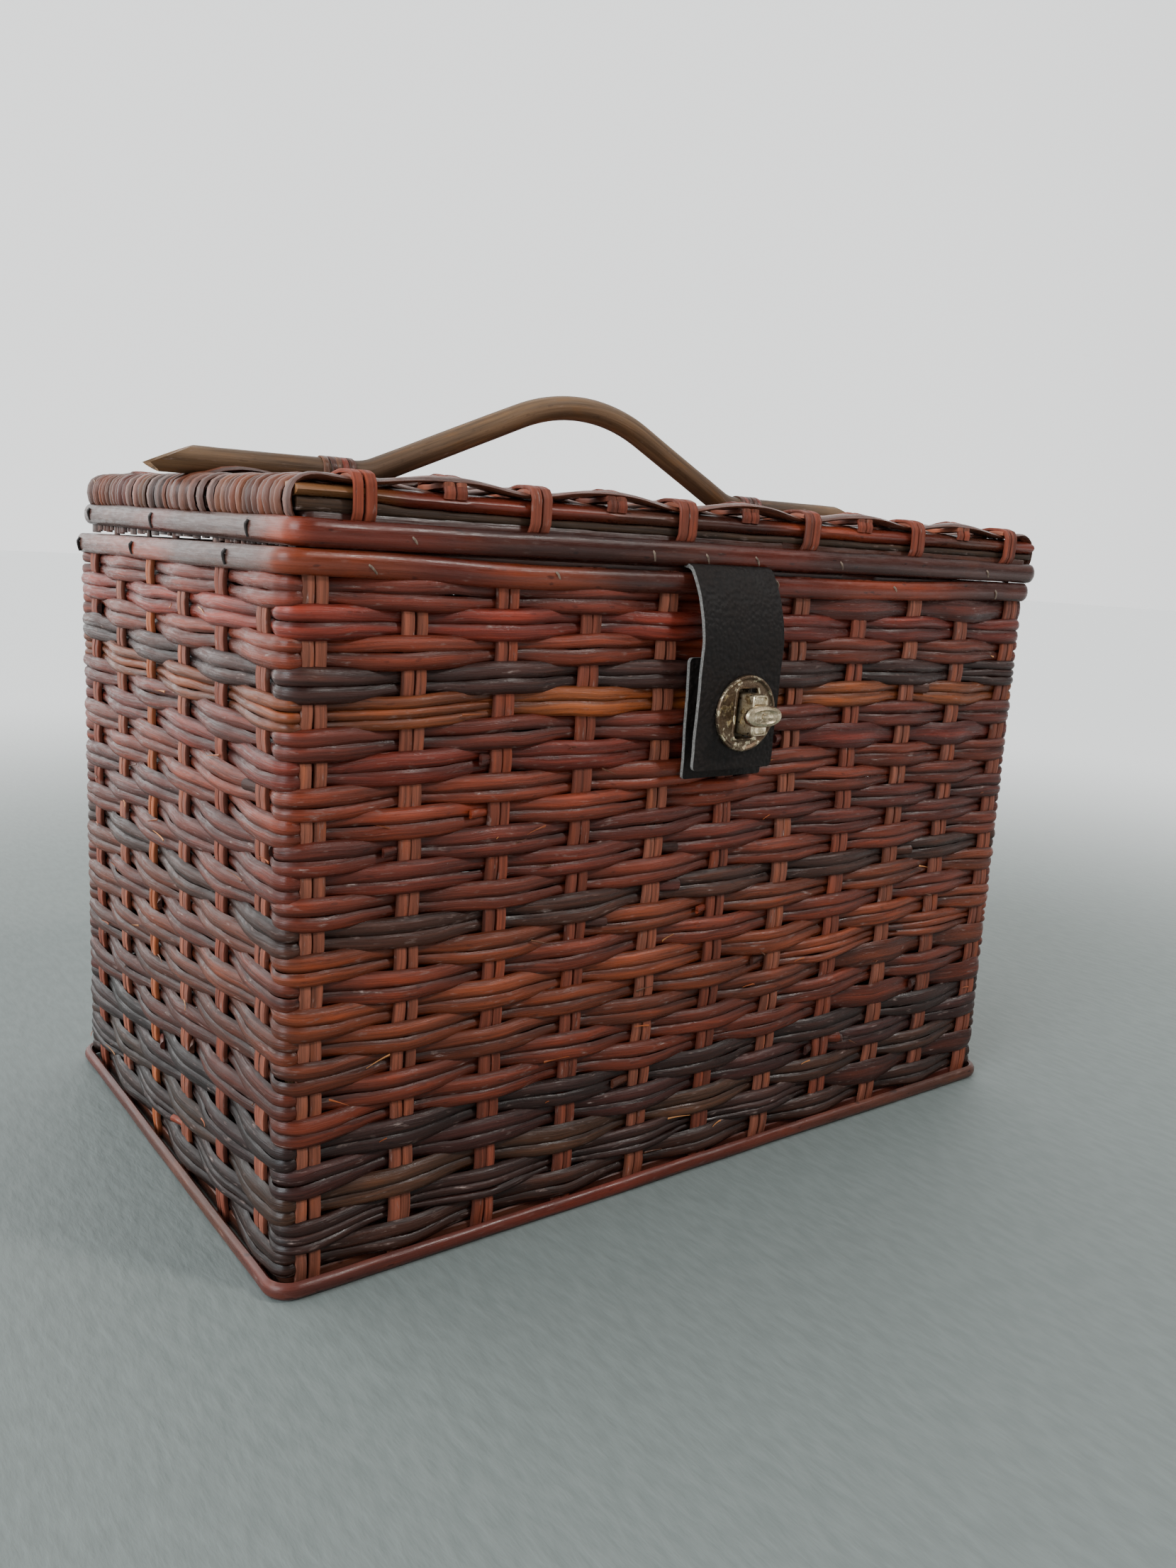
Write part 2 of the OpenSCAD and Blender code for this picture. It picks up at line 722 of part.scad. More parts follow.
// One swept tube of cane_sides sides, a ring at every point of the path
module handle() {
  last = len(CANE_PATH) - 1;
  points = [for (k = [0:last], j = [0:cane_sides - 1])
    let (at = CANE_PATH[k], turn = 360 * j / cane_sides, up = handle_r * cos(turn))
      [at[0] - up * sin(at[2]) + tip_step(k, up + handle_r), handle_r * sin(turn),
       at[1] + up * cos(at[2])]];
  sides = [for (k = [0:last - 1], j = [0:cane_sides - 1])
    let (n = (j + 1) % cane_sides, here = k * cane_sides, next = here + cane_sides)
      [here + j, next + j, next + n, here + n]];
  left_end = [for (j = [0:cane_sides - 1]) j];
  right_end = [for (j = [cane_sides - 1:-1:0]) last * cane_sides + j];
  color(CANE) on_lid() polyhedron(points, concat([left_end], sides, [right_end]));
}

// A skein lashing seen from above: a saddle over the cane, down to the weave
module handle_binding(x) {
  color(STAKE) on_lid() intersection() {
    translate([x - binding_w / 2, 0, tail_z]) rotate([0, 90, 0]) difference() {
      cylinder(r = handle_r + 0.1 + binding_t, h = binding_w);
      translate([0, 0, -1]) cylinder(r = handle_r + 0.1, h = binding_w + 2);
    }
    block([x - binding_w, -20, lid_top_z + 0.05], [x + binding_w, 20, handle_top]);
  }
}

module handle_binding_left() handle_binding(left_foot_x - binding_w / 2 - 2);
module handle_binding_right() handle_binding(right_foot_x + binding_w / 2 + 2);

// ---- assembly ----

base_panel();
base_front_stick();
base_back_stick();
base_left_stick();
base_right_stick();
base_border();
front_weave();
back_weave();
left_weave();
right_weave();
front_stakes();
back_stakes();
left_stakes();
right_stakes();
corner_post_front_left();
corner_post_front_right();
corner_post_back_left();
corner_post_back_right();
body_rim_outer();
body_rim_inner();
body_rim_pins();
hinge_lower_left();
hinge_lower_right();
hinge_lower_nails();
latch_tab();
latch_base();
latch_rivets();
latch_washer();
turn_button();
lid_weave();
lid_stakes();
lid_left_wrap();
lid_right_wrap();
lid_front_bar();
lid_back_bar();
lid_left_bar();
lid_right_bar();
lid_front_lashings();
lid_back_lashings();
lid_rim_outer();
lid_rim_inner();
lid_rim_pins();
handle();
handle_binding_left();
handle_binding_right();
hinge_upper_left();
hinge_upper_right();
hinge_upper_nails();
strap_anchor();
latch_strap();
eyelet_plate();
eyelet_back_plate();
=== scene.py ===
import math
import random

import bmesh
import bpy
import numpy as np
from mathutils import Matrix, Vector


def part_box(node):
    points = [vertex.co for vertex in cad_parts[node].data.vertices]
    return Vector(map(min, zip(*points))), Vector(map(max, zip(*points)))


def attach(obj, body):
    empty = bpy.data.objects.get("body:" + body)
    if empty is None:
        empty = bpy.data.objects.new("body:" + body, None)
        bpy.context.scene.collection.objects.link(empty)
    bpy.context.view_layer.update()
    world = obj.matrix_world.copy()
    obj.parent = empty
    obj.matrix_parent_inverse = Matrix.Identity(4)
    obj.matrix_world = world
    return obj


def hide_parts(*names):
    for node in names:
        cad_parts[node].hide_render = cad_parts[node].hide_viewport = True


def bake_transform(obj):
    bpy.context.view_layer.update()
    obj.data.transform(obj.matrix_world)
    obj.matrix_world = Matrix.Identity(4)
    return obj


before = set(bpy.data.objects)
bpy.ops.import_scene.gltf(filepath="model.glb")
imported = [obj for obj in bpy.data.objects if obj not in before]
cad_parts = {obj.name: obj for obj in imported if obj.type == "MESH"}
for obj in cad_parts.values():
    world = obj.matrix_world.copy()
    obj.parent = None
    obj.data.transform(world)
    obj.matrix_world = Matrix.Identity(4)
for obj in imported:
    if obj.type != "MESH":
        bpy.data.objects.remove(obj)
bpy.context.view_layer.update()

# A willow hamper: every skein, stake, rim strip, cane, leather and lock part is its own
# mesh. Lengths below are millimetres in the row frame, and meshes are made in metres.
MM = 0.001
rng = random.Random(11)


def box_mm(node):
    """Lowest and highest corner of a CAD node, in millimetres."""
    low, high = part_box(node)
    return np.array(low) / MM, np.array(high) / MM


# ---- sizes ----

RIM_LOW, RIM_HIGH = box_mm("body_rim_outer")
HALF_W, HALF_D = RIM_HIGH[0], RIM_HIGH[1]
RIM_T = 3.3
STRIP_T = 1.8
STAKE_X = HALF_W - RIM_T - 1.0
STAKE_Y = HALF_D - RIM_T - 1.0
BORDER_TOP = box_mm("base_border")[1][2]
WEAVE_LOW, WEAVE_HIGH = BORDER_TOP, RIM_LOW[2]
ROWS, BASE_ROWS = 25, 22
ROW_PITCH = (WEAVE_HIGH - WEAVE_LOW) / ROWS
STAKE_CLEAR = 0.95
SKEIN_T = 2.3
CORNER_R = 6.0

FRONT_PITCH = (box_mm("front_stakes")[1][0] - 4.0) / 5
SIDE_PITCH = (box_mm("left_stakes")[1][1] - 4.0) / 2.5
FRONT_STAKES = [FRONT_PITCH * i for i in range(-5, 6)]
SIDE_STAKES = [SIDE_PITCH * (i - 2.5) for i in range(6)]

LID_LOW, LID_HIGH = box_mm("lid_rim_outer")
LID_SHIFT = (LID_LOW[0] + LID_HIGH[0]) / 2
LID_TILT = math.radians(0.95)
LID_Z = 250.6
LID_RIM_H = 8.9
LID_RIM_TOP = LID_Z + LID_RIM_H
LID_PITCH = 33.0
LID_ROWS = 24
LID_PLANE = 271.6
BAR_Z = 261.0
BAR_TOP = 270.2
BAR_D = 10.0
TUCK_X = HALF_W - RIM_T - 0.1
TUCK_Y = HALF_D - RIM_T - 0.1
LID_SPAN = 2 * TUCK_Y - 2.2
LID_ROW_PITCH = LID_SPAN / LID_ROWS

LOCK_X, LOCK_Z = -5.5, 196.0
STRAP_X, STRAP_W = -8.5, 41.0
LEATHER_T = 1.8
HINGE_X, HINGE_Y, HINGE_W = 110.0, 121.1, 30.0

# ---- colours, as red, green and blue from 0 to 255 ----

VARNISH = np.array([1.10, 0.79, 0.67])  # what the old varnish lets back out

TONES = {
    "russet": (126, 64, 44),
    "chestnut": (108, 53, 40),
    "cherry": (118, 52, 40),
    "plum": (84, 50, 46),
    "dusk": (66, 46, 43),
    "umber": (80, 55, 46),
    "olive": (100, 74, 56),
    "lid_brown": (106, 70, 55),
    "amber": (142, 78, 48),
    "honey": (156, 94, 50),
    "straw": (190, 146, 92),
    "stake": (142, 98, 82),
    "stake_red": (122, 74, 60),
    "stake_orange": (172, 110, 70),
    "rim_red": (92, 43, 33),
    "rim_amber": (112, 59, 39),
    "rim_dark": (62, 36, 31),
    "rim_grey": (80, 66, 63),
    "cane": (112, 86, 62),
    "cane_dark": (84, 62, 45),
    "bark": (128, 86, 54),
    "pith": (62, 44, 32),
}
BARE = ("cane", "cane_dark", "bark", "pith")

# The walls' rows from the base to the rim
ROW_TONES = (
    "umber dusk olive plum dusk russet russet amber amber amber russet amber "
    "umber russet chestnut chestnut russet russet cherry chestnut honey dusk "
    "russet cherry chestnut"
).split()


# ---- arrays ----

X_AXIS, Y_AXIS, UP = np.eye(3)


def within(values):
    return np.clip(values, 0, 1)


def columns(*parts):
    """Points from their coordinates, each of which is an array or one number."""
    return np.stack(np.broadcast_arrays(*parts), axis=1)


def unit(v):
    return v / np.linalg.norm(v, axis=-1, keepdims=True)


def tangents(points):
    return unit(np.gradient(points, axis=0))


def full_turn(count):
    return np.linspace(0, 2 * np.pi, count, endpoint=False)


def run_along(points):
    """Running lengths of the points of a path."""
    steps = np.linalg.norm(np.diff(points, axis=0), axis=1)
    return np.concatenate([[0], np.cumsum(steps)])


def squared_to(axis, ahead):
    """The axis at each point of a strand, turned square to the way ahead."""
    return unit(axis - ahead * (ahead @ axis)[:, None])


def leant(out, side, ahead, lean):
    """The way out of a strand, leant to the side by an angle, and the way across it."""
    out = unit(out * np.cos(lean)[:, None] + side * np.sin(lean)[:, None])
    return out, unit(np.cross(out, ahead))


def linear(rgb):
    """Linear colour of a 0-255 sRGB one."""
    c = np.array(rgb, float) / 255
    return np.where(c <= 0.04045, c / 12.92, ((c + 0.055) / 1.055) ** 2.4)


def varnished(name):
    return linear(TONES[name]) * (1.0 if name in BARE else VARNISH)


def tone(name, spread=0.1, toward=None):
    """A tone's colour with a seeded change of lightness, and a share of another tone."""
    colour = varnished(name)
    if toward:
        colour = colour + (varnished(toward) - colour) * rng.uniform(0, 0.7)
    light = 1 + rng.uniform(-spread, spread)
    warm = rng.uniform(-0.04, 0.04)
    return colour * light * np.array([1 + warm, 1, 1 - warm])


def waver(s, size, length):
    """A smooth wander of the given size along s, with bends about length apart."""
    first, second = rng.uniform(0, 6.28), rng.uniform(0, 6.28)
    return size * (
        0.65 * np.sin(6.283 * s / length + first)
        + 0.35 * np.sin(6.283 * s / (length * 0.37) + second)
    )


def smooth_steps(s, places, values):
    """values at the places, joined by half cosine waves."""
    at = np.clip(np.searchsorted(places, s) - 1, 0, len(places) - 2)
    t = within((s - places[at]) / (places[at + 1] - places[at]))
    return values[at] + (values[at + 1] - values[at]) * (0.5 - 0.5 * np.cos(np.pi * t))


def give_way(at, start, pitch, rows, first):
    """How far a stake is pushed out (1) or in (-1) at each place, by rows of the pitch
    that pass it on either side in turn. Row 0 pushes it in if first is odd."""
    row = np.arange(-1, rows + 1)
    signs = np.where((first + row) % 2, -1.0, 1.0)
    return smooth_steps(at, start + pitch * (row + 0.5), signs)


# ---- sections: (across, out) for half width 1 and thickness 1, from the flat back ----

def half_round_section(steps=6):
    arc = np.linspace(math.radians(-80), math.radians(80), steps)
    across = np.concatenate([np.sin(arc), [0.82, -0.82]])
    out = np.concatenate([0.14 + 0.86 * np.cos(arc), [0.0, 0.0]])
    return across, out


def flat_section():
    return (
        np.array([-1.0, -0.86, -0.4, 0.4, 0.86, 1.0, 0.9, -0.9]),
        np.array([0.55, 0.92, 1.0, 1.0, 0.92, 0.55, 0.0, 0.0]),
    )


def round_section(sides):
    turn = full_turn(sides)
    return -np.cos(turn), 0.5 + 0.5 * np.sin(turn)


SKEIN = half_round_section()
RIM = half_round_section(9)
STRIP = flat_section()
WIRE = round_section(8)
CANE = round_section(24)


# ---- meshes ----

class Strands:
    """Swept strands that become one mesh, each point with its tone and its place on the
    strand: along it and across it in millimetres, and the strand's own number."""

    def __init__(self):
        self.points, self.faces, self.tones, self.places = [], [], [], []
        self.count = 0

    def add_rings(self, rings, colour, across):
        n, m = rings.shape[:2]
        middle = rings.mean(axis=1)
        along = run_along(middle) + rng.uniform(0, 900)
        start = self.count
        self.points.append(rings.reshape(-1, 3))
        colour = np.broadcast_to(colour, (n, 3))
        self.tones.append(np.repeat(colour, m, axis=0))
        place = np.zeros((n, m, 3))
        place[:, :, 0] = along[:, None]
        place[:, :, 1] = across
        place[:, :, 2] = rng.uniform(0, 40)
        self.places.append(place.reshape(-1, 3))
        self.count += n * m
        j = np.arange(m)
        k = np.arange(n - 1)[:, None] * m
        turned = (j + 1) % m
        quads = np.stack([k + j, k + turned, k + m + turned, k + m + j], axis=-1)
        quads = quads.reshape(-1, 4)
        caps = [list(range(m))[::-1], list(range((n - 1) * m, n * m))]
        if self._inside_out(rings):
            quads = quads[:, ::-1]
            caps = [cap[::-1] for cap in caps]
        self.faces.extend((quads + start).tolist())
        self.faces.extend([[i + start for i in cap] for cap in caps])

    @staticmethod
    def _inside_out(rings):
        mid = len(rings) // 2
        here, ahead = rings[mid - 1], rings[mid]
        middle = here.mean(axis=0)
        forward = ahead.mean(axis=0) - middle
        turn = np.cross(here - middle, np.roll(here, -1, axis=0) - middle).sum(axis=0)
        return float(turn @ forward) < 0

    def sweep(self, centre, out, side, half_width, thickness, colour, section=SKEIN):
        """One strand along centre. out is the way its crown faces, side is across it;
        each is one vector or one for each point."""
        across, depth = section
        width = np.broadcast_to(half_width, len(centre))[:, None]
        thick = np.broadcast_to(thickness, len(centre))[:, None]
        out, side = (np.broadcast_to(v, centre.shape)[:, None, :] for v in (out, side))
        rings = (centre[:, None, :] + side * (across * width)[:, :, None]
                 + out * (depth * thick)[:, :, None])
        self.add_rings(rings, colour, across * width)

    def place(self, name, material, body, slot, *nodes, sharp=48):
        """The strands as one object, which stands for the nodes and rides on the body. What
        rides on the lid is put where the lid sits."""
        points = np.vstack(self.points)
        if body == "lid":
            points = on_lid(points)
        obj = make_object(name, points, self.faces, [material], sharp)
        tones = np.ones((self.count, 4))
        tones[:, :3] = np.vstack(self.tones)
        layer = obj.data.attributes.new("tone", "FLOAT_COLOR", "POINT")
        layer.data.foreach_set("color", tones.ravel())
        layer = obj.data.attributes.new("strand", "FLOAT_VECTOR", "POINT")
        layer.data.foreach_set("vector", np.vstack(self.places).ravel())
        settle(obj, body, slot, *nodes)


def linked(name, data):
    """A new object in the scene."""
    obj = bpy.data.objects.new(name, data)
    bpy.context.scene.collection.objects.link(obj)
    return obj


def make_object(name, points, faces, materials, sharp=48):
    mesh = bpy.data.meshes.new(name)
    mesh.from_pydata((np.asarray(points) * MM).tolist(), [], faces)
    for material in materials:
        mesh.materials.append(material)
    mesh.shade_smooth()
    mesh.set_sharp_from_angle(angle=math.radians(sharp))
    return linked(name, mesh)


def settle(obj, body, slot, *nodes):
    """obj stands for the nodes and rides on the body; slot is not used."""
    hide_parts(*nodes)
    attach(obj, body)


def on_lid(points):
    """Points drawn on a level, centred lid, put where the lid sits."""
    p = np.array(points, float)
    y, z = p[..., 1] + HALF_D, p[..., 2] - LID_Z
    p[..., 0] += LID_SHIFT
    p[..., 1] = y * math.cos(LID_TILT) - z * math.sin(LID_TILT) - HALF_D
    p[..., 2] = y * math.sin(LID_TILT) + z * math.cos(LID_TILT) + LID_Z
    return p


class LoopPath:
    """A level rounded rectangle, run counter-clockwise seen from above, from the left
    end of its front side."""

    STEP = 3.4
    CORNER_STEPS = 7

    def __init__(self, half_x, half_y, corner_r):
        run_x, run_y = half_x - corner_r, half_y - corner_r
        self.side_lengths = [2 * run_x, 2 * run_y] * 2
        self.arc = corner_r * math.pi / 2
        corners = [(run_x, -run_y), (run_x, run_y), (-run_x, run_y), (-run_x, -run_y)]
        points, normals, lengths = [], [], []
        s = 0.0
        at = np.array([-run_x, -half_y])
        for side, length in enumerate(self.side_lengths):
            turn = side * math.pi / 2
            ahead = np.array([math.cos(turn), math.sin(turn)])
            out = np.array([math.sin(turn), -math.cos(turn)])
            count = int(length // self.STEP)
            for i in range(count):
                points.append(at + ahead * length * i / count)
                normals.append(out)
                lengths.append(s + length * i / count)
            s += length
            for i in range(self.CORNER_STEPS):
                angle = turn - math.pi / 2 + math.pi / 2 * i / self.CORNER_STEPS
                normal = np.array([math.cos(angle), math.sin(angle)])
                points.append(corners[side] + corner_r * normal)
                normals.append(normal)
                lengths.append(s + self.arc * i / self.CORNER_STEPS)
            s += self.arc
            at = corners[side] + corner_r * ahead
        self.length = s
        self.lengths = np.array(lengths)
        self.closed_lengths = np.append(lengths, s)
        self.points = np.vstack(points + points[:1])
        self.normals = np.vstack(normals + normals[:1])

    def side_start(self, side):
        return sum(self.side_lengths[:side]) + side * self.arc

    def corners(self):
        return [self.side_start(i) + self.side_lengths[i] + self.arc / 2 for i in range(4)]

    def samples(self, start, end):
        laps = range(int(start // self.length), int(end // self.length) + 1)
        s = np.concatenate([self.lengths + lap * self.length for lap in laps])
        inner = s[(s > start + 0.4) & (s < end - 0.4)]
        return np.concatenate([[start], inner, [end]])

    def at(self, s, z):
        """Points at height z and outward normals at the running lengths s."""
        wrapped = np.mod(s, self.length)
        x, y, out_x, out_y = [np.interp(wrapped, self.closed_lengths, values)
                              for values in (*self.points.T, *self.normals.T)]
        return columns(x, y, z), unit(columns(out_x, out_y, 0.0))


WALL = LoopPath(STAKE_X, STAKE_Y, CORNER_R)


# ---- materials ----

class Nodes:
    """The node tree of a material or of the world, built by short calls."""

    def __init__(self, owner, shader="Principled BSDF"):
        self.owner = owner
        owner.use_nodes = True
        self.tree = owner.node_tree
        self.shader = self.tree.nodes[shader]

    def add(self, kind, inputs=None, **settings):
        node = self.tree.nodes.new(kind)
        for key, value in settings.items():
            setattr(node, key, value)
        for key, value in (inputs or {}).items():
            self.put(node.inputs[key], value)
        return node

    def put(self, socket, value):
        if isinstance(value, bpy.types.NodeSocket):
            self.tree.links.new(value, socket)
        else:
            socket.default_value = value

    def math(self, operation, a, b=0.0):
        node = self.add("ShaderNodeMath", {0: a, 1: b}, operation=operation)
        return node.outputs[0]

    def times(self, a, b):
        return self.math("MULTIPLY", a, b)

    def plus(self, a, b):
        return self.math("ADD", a, b)

    def ramp(self, value, low, high, to_low=0.0, to_high=1.0):
        return self.add("ShaderNodeMapRange", {
            "Value": value, "From Min": low, "From Max": high, "To Min": to_low,
            "To Max": to_high}, interpolation_type="SMOOTHSTEP").outputs[0]

    def noise(self, vector, scale, detail=3.0, roughness=0.55):
        node = self.add("ShaderNodeTexNoise", {
            "Vector": vector, "Scale": scale, "Detail": detail, "Roughness": roughness})
        return node.outputs["Fac"]

    def scaled(self, vector, x, y, z):
        return self.add("ShaderNodeVectorMath", {0: vector, 1: (x, y, z)},
                        operation="MULTIPLY").outputs[0]

    def measured(self, operation, *vectors):
        return self.add("ShaderNodeVectorMath", dict(enumerate(vectors)),
                        operation=operation).outputs["Value"]

    def mix(self, factor, a, b, blend="MIX"):
        return self.add("ShaderNodeMix", {0: factor, 6: a, 7: b}, data_type="RGBA",
                        blend_type=blend).outputs[2]

    def tinted(self, a, b):
        return self.mix(1.0, a, b, "MULTIPLY")

    def bump(self, height, distance):
        return self.add("ShaderNodeBump", {
            "Height": height, "Distance": distance, "Strength": 1.0}).outputs["Normal"]

    def place(self, kind="Object"):
        return self.add("ShaderNodeTexCoord").outputs[kind]

    def finish(self, **sockets):
        for key, value in sockets.items():
            self.put(self.shader.inputs[key.replace("_", " ")], value)
        return self.owner


def placed_nodes(name):
    """A new material's nodes and the place on the object."""
    n = Nodes(bpy.data.materials.new(name))
    return n, n.place()


def rgba(*rgb):
    return (*linear(rgb), 1.0)


def willow(name, streaks=1.0, knots=0.5, rough_low=0.24, rough_high=0.55, bump=0.00026,
           specular=0.35, half_width=2.3):
    """Split willow: the strand's tone (with the painted shade that some strands carry),
    lengthwise grain, dirt and painted shade along its edges, small dark knots, and a worn
    varnish whose gloss and colour change along the strand, with pale scuffs that are partly
    painted highlights."""
    n = Nodes(bpy.data.materials.new(name))
    tint = n.add("ShaderNodeAttribute", attribute_name="tone").outputs["Color"]
    place = n.add("ShaderNodeAttribute", attribute_name="strand").outputs["Vector"]
    across = n.add("ShaderNodeSeparateXYZ", {0: place}).outputs[1]
    fine = n.noise(n.scaled(place, 0.05, 2.2, 1.0), 1.0, 5.0, 0.7)
    streak = n.noise(n.scaled(place, 0.022, 0.8, 5.0), 1.0, 3.0, 0.6)
    broad = n.noise(n.scaled(place, 0.018, 0.3, 1.0), 1.0, 2.0)
    blotch = n.noise(n.scaled(place, 0.05, 0.16, 1.7), 1.0, 2.0)
    scuff_and_highlight = n.noise(n.scaled(place, 0.13, 0.62, 4.3), 1.0, 5.0, 0.62)
    knot = n.noise(n.scaled(place, 0.16, 0.45, 3.1), 1.0, 1.0)
    speck = n.noise(n.scaled(place, 0.8, 1.2, 2.3), 1.0, 1.0)
    # Darker towards the strand's edges: dirt and painted shade in the crevices between strands.
    edge = n.ramp(n.math("ABSOLUTE", across), half_width * 0.55, half_width * 1.05, 1.0, 0.55)
    shade = n.times(n.ramp(fine, 0.35, 0.62, 1.0 - 0.22 * streaks, 1.04),
                    n.ramp(broad, 0.35, 0.65, 0.78, 1.22))
    shade = n.times(shade, n.ramp(streak, 0.34, 0.60, 1.0 - 0.42 * streaks, 1.07))
    shade = n.times(shade, edge)
    colour = n.tinted(tint, n.add("ShaderNodeCombineColor", {
        0: shade, 1: shade, 2: shade}).outputs[0])
    warm = n.tinted(colour, (1.28, 1.10, 0.85, 1.0))
    colour = n.mix(n.ramp(blotch, 0.52, 0.70, 0.0, 0.8), colour, warm)
    dark = n.tinted(colour, (0.34, 0.28, 0.29, 1.0))
    colour = n.mix(n.ramp(knot, 0.69, 0.75, 0.0, knots), colour, dark)
    colour = n.mix(n.ramp(speck, 0.72, 0.78, 0.0, 0.6 * knots + 0.15), colour, dark)
    # Pale scuffs along the strand: partly worn varnish and partly painted highlights, palest in
    # their cores.
    worn = n.mix(0.5, colour, (0.27, 0.19, 0.165, 1.0))
    colour = n.mix(n.ramp(scuff_and_highlight, 0.60, 0.67, 0.0, 0.8 * streaks), colour, worn)
    colour = n.mix(n.ramp(scuff_and_highlight, 0.69, 0.73, 0.0, 0.7 * streaks), colour,
                   (0.50, 0.38, 0.34, 1.0))
    gloss = n.plus(n.times(scuff_and_highlight, 0.5), n.times(fine, 0.5))
    rough = n.ramp(gloss, 0.4, 0.6, rough_low, rough_high)
    height = n.plus(streak, n.times(fine, 0.5))
    return n.finish(Specular_IOR_Level=specular, Base_Color=colour, Roughness=rough,
                    Normal=n.bump(height, bump))


def leather(name):
    """Dark brown pebbled leather, a little greyer where it bends and rubs."""
    n, place = placed_nodes(name)
    cells = n.add("ShaderNodeTexVoronoi", {"Vector": place, "Scale": 620.0},
                  feature="SMOOTH_F1").outputs["Distance"]
    creases = n.noise(place, 260.0, 4.0)
    wear = n.noise(place, 55.0, 3.0)
    base = n.mix(n.ramp(wear, 0.35, 0.7), rgba(25, 20, 18), rgba(36, 29, 26))
    colour = n.mix(n.ramp(cells, 0.25, 0.7, 0.0, 0.55), base, rgba(14, 11, 11))
    height = n.plus(n.times(cells, -1.0), n.times(creases, 0.4))
    rough = n.ramp(wear, 0.3, 0.75, 0.58, 0.78)
    return n.finish(Specular_IOR_Level=0.22, Base_Color=colour, Roughness=rough,
                    Normal=n.bump(height, 0.0006))


def leather_edge(name):
    """The pale fibrous cut edge of leather."""
    n, place = placed_nodes(name)
    fibre = n.noise(place, 1400.0, 4.0)
    patch = n.noise(place, 120.0, 2.0)
    pale = n.mix(n.ramp(fibre, 0.3, 0.7), rgba(104, 100, 96), rgba(138, 136, 132))
    colour = n.mix(n.ramp(patch, 0.45, 0.75, 0.0, 0.6), pale, rgba(70, 62, 56))
    return n.finish(Base_Color=colour, Roughness=0.9, Normal=n.bump(fibre, 0.0003))


def brass(name, stain=0.6, shine=0.22, flake=0.00006):
    """Plated brass, stained brown in patches and flaked bright between them."""
    n, place = placed_nodes(name)
    blot = n.noise(place, 260.0, 5.0, 0.6)
    fine = n.noise(place, 1300.0, 3.0)
    bright = n.mix(n.ramp(fine, 0.3, 0.7), rgba(186, 168, 134), rgba(222, 208, 180))
    worn = n.mix(n.ramp(fine, 0.35, 0.65), rgba(78, 58, 48), rgba(106, 84, 66))
    mask = n.ramp(blot, 0.40, 0.50)
    colour = n.mix(n.times(mask, stain), bright, worn)
    rough = n.ramp(mask, 0.2, 0.9, shine, shine + 0.22)
    height = n.plus(n.times(mask, -1.0), fine)
    return n.finish(Metallic=1.0, Base_Color=colour, Roughness=rough,
                    Normal=n.bump(height, flake))


def plain_wood(name, light, dark):
    """Wood for the CAD nodes that stay: grain along their own length."""
    n, place = placed_nodes(name)
    grain = n.noise(n.scaled(place, 900.0, 900.0, 60.0), 1.0, 5.0)
    blotch = n.noise(place, 40.0, 2.0)
    colour = n.mix(n.ramp(grain, 0.3, 0.7), rgba(*dark), rgba(*light))
    rough = n.ramp(blotch, 0.3, 0.7, 0.45, 0.7)
    return n.finish(Base_Color=colour, Roughness=rough, Normal=n.bump(grain, 0.0002))


WILLOW = willow("willow", streaks=0.75)
WILLOW_STAKE = willow("willow_stake", streaks=0.9, knots=0.2, rough_low=0.45,
                      rough_high=0.75, bump=0.0003, specular=0.25, half_width=2.4)
WILLOW_RIM = willow("willow_rim", streaks=0.3, knots=0.75, rough_low=0.22,
                    rough_high=0.42, bump=0.0001, half_width=4.6)
WILLOW_CANE = willow("willow_cane", streaks=0.4, knots=0.3, rough_low=0.42,
                     rough_high=0.6, bump=0.0002, specular=0.25, half_width=400.0)
LEATHER = leather("leather")
LEATHER_EDGE = leather_edge("leather_edge")
BRASS_PLATE = brass("brass_plate", stain=0.92, shine=0.24)
BRASS_BRIGHT = brass("brass_bright", stain=0.28, shine=0.16, flake=0.00001)
WIRE_DARK = plain_wood("rusted_wire", (46, 36, 32), (28, 22, 20))
WIRE_TIP = plain_wood("worn_wire", (150, 130, 112), (96, 78, 66))
POST_WOOD = plain_wood("post_wood", (126, 92, 60), (92, 64, 44))


# ---- walls ----

def stake_places():
    """Running lengths along WALL of the stakes, from the front side's left end."""
    half = [STAKE_X - CORNER_R, STAKE_Y - CORNER_R] * 2
    sides = [FRONT_STAKES, SIDE_STAKES, FRONT_STAKES, SIDE_STAKES]
    return [
        WALL.side_start(side) + half[side] + place
        for side, places in enumerate(sides)
        for place in places
    ]


STAKE_S = stake_places()


def weave_knots(row, skein_t):
    """Places along WALL and distances from the stakes' plane of a row's flat back, for
    three laps: outside one stake, inside the next, and near the plane at the corners."""
    outside, inside = STAKE_CLEAR, -STAKE_CLEAR - skein_t
    lap = [(s, outside if (i + row) % 2 else inside) for i, s in enumerate(STAKE_S)]
    lap += [(s, 0.25) for s in WALL.corners()]
    lap.sort()
    places = [s + turn * WALL.length for turn in (-1, 0, 1, 2) for s, _ in lap]
    values = [v for _ in range(4) for _, v in lap]
    return np.array(places), np.array(values)


def row_height(row, s):
    """Height of a row's middle: rows wander together, more so near the base."""
    z = WEAVE_LOW + ROW_PITCH * (row + 0.5)
    loose = 1.5 - 0.9 * row / ROWS
    edge = min(1.0, (row + 0.2) / 2.5, (ROWS - 0.8 - row) / 2.5)
    turn = 6.283 * s / WALL.length
    lift = np.sin(3 * turn + z / 38) + 0.6 * np.sin(7 * turn - z / 21 + 1.3)
    return z + edge * loose * lift


def skein_widths(count):
    """Half widths of the skeins that fill one row, from the lowest up."""
    total = {1: 5.15, 2: 5.6, 3: 5.75}[count] * rng.uniform(0.96, 1.04)
    parts = [rng.uniform(0.85, 1.25) for _ in range(count)]
    return [total * part / sum(parts) for part in parts]


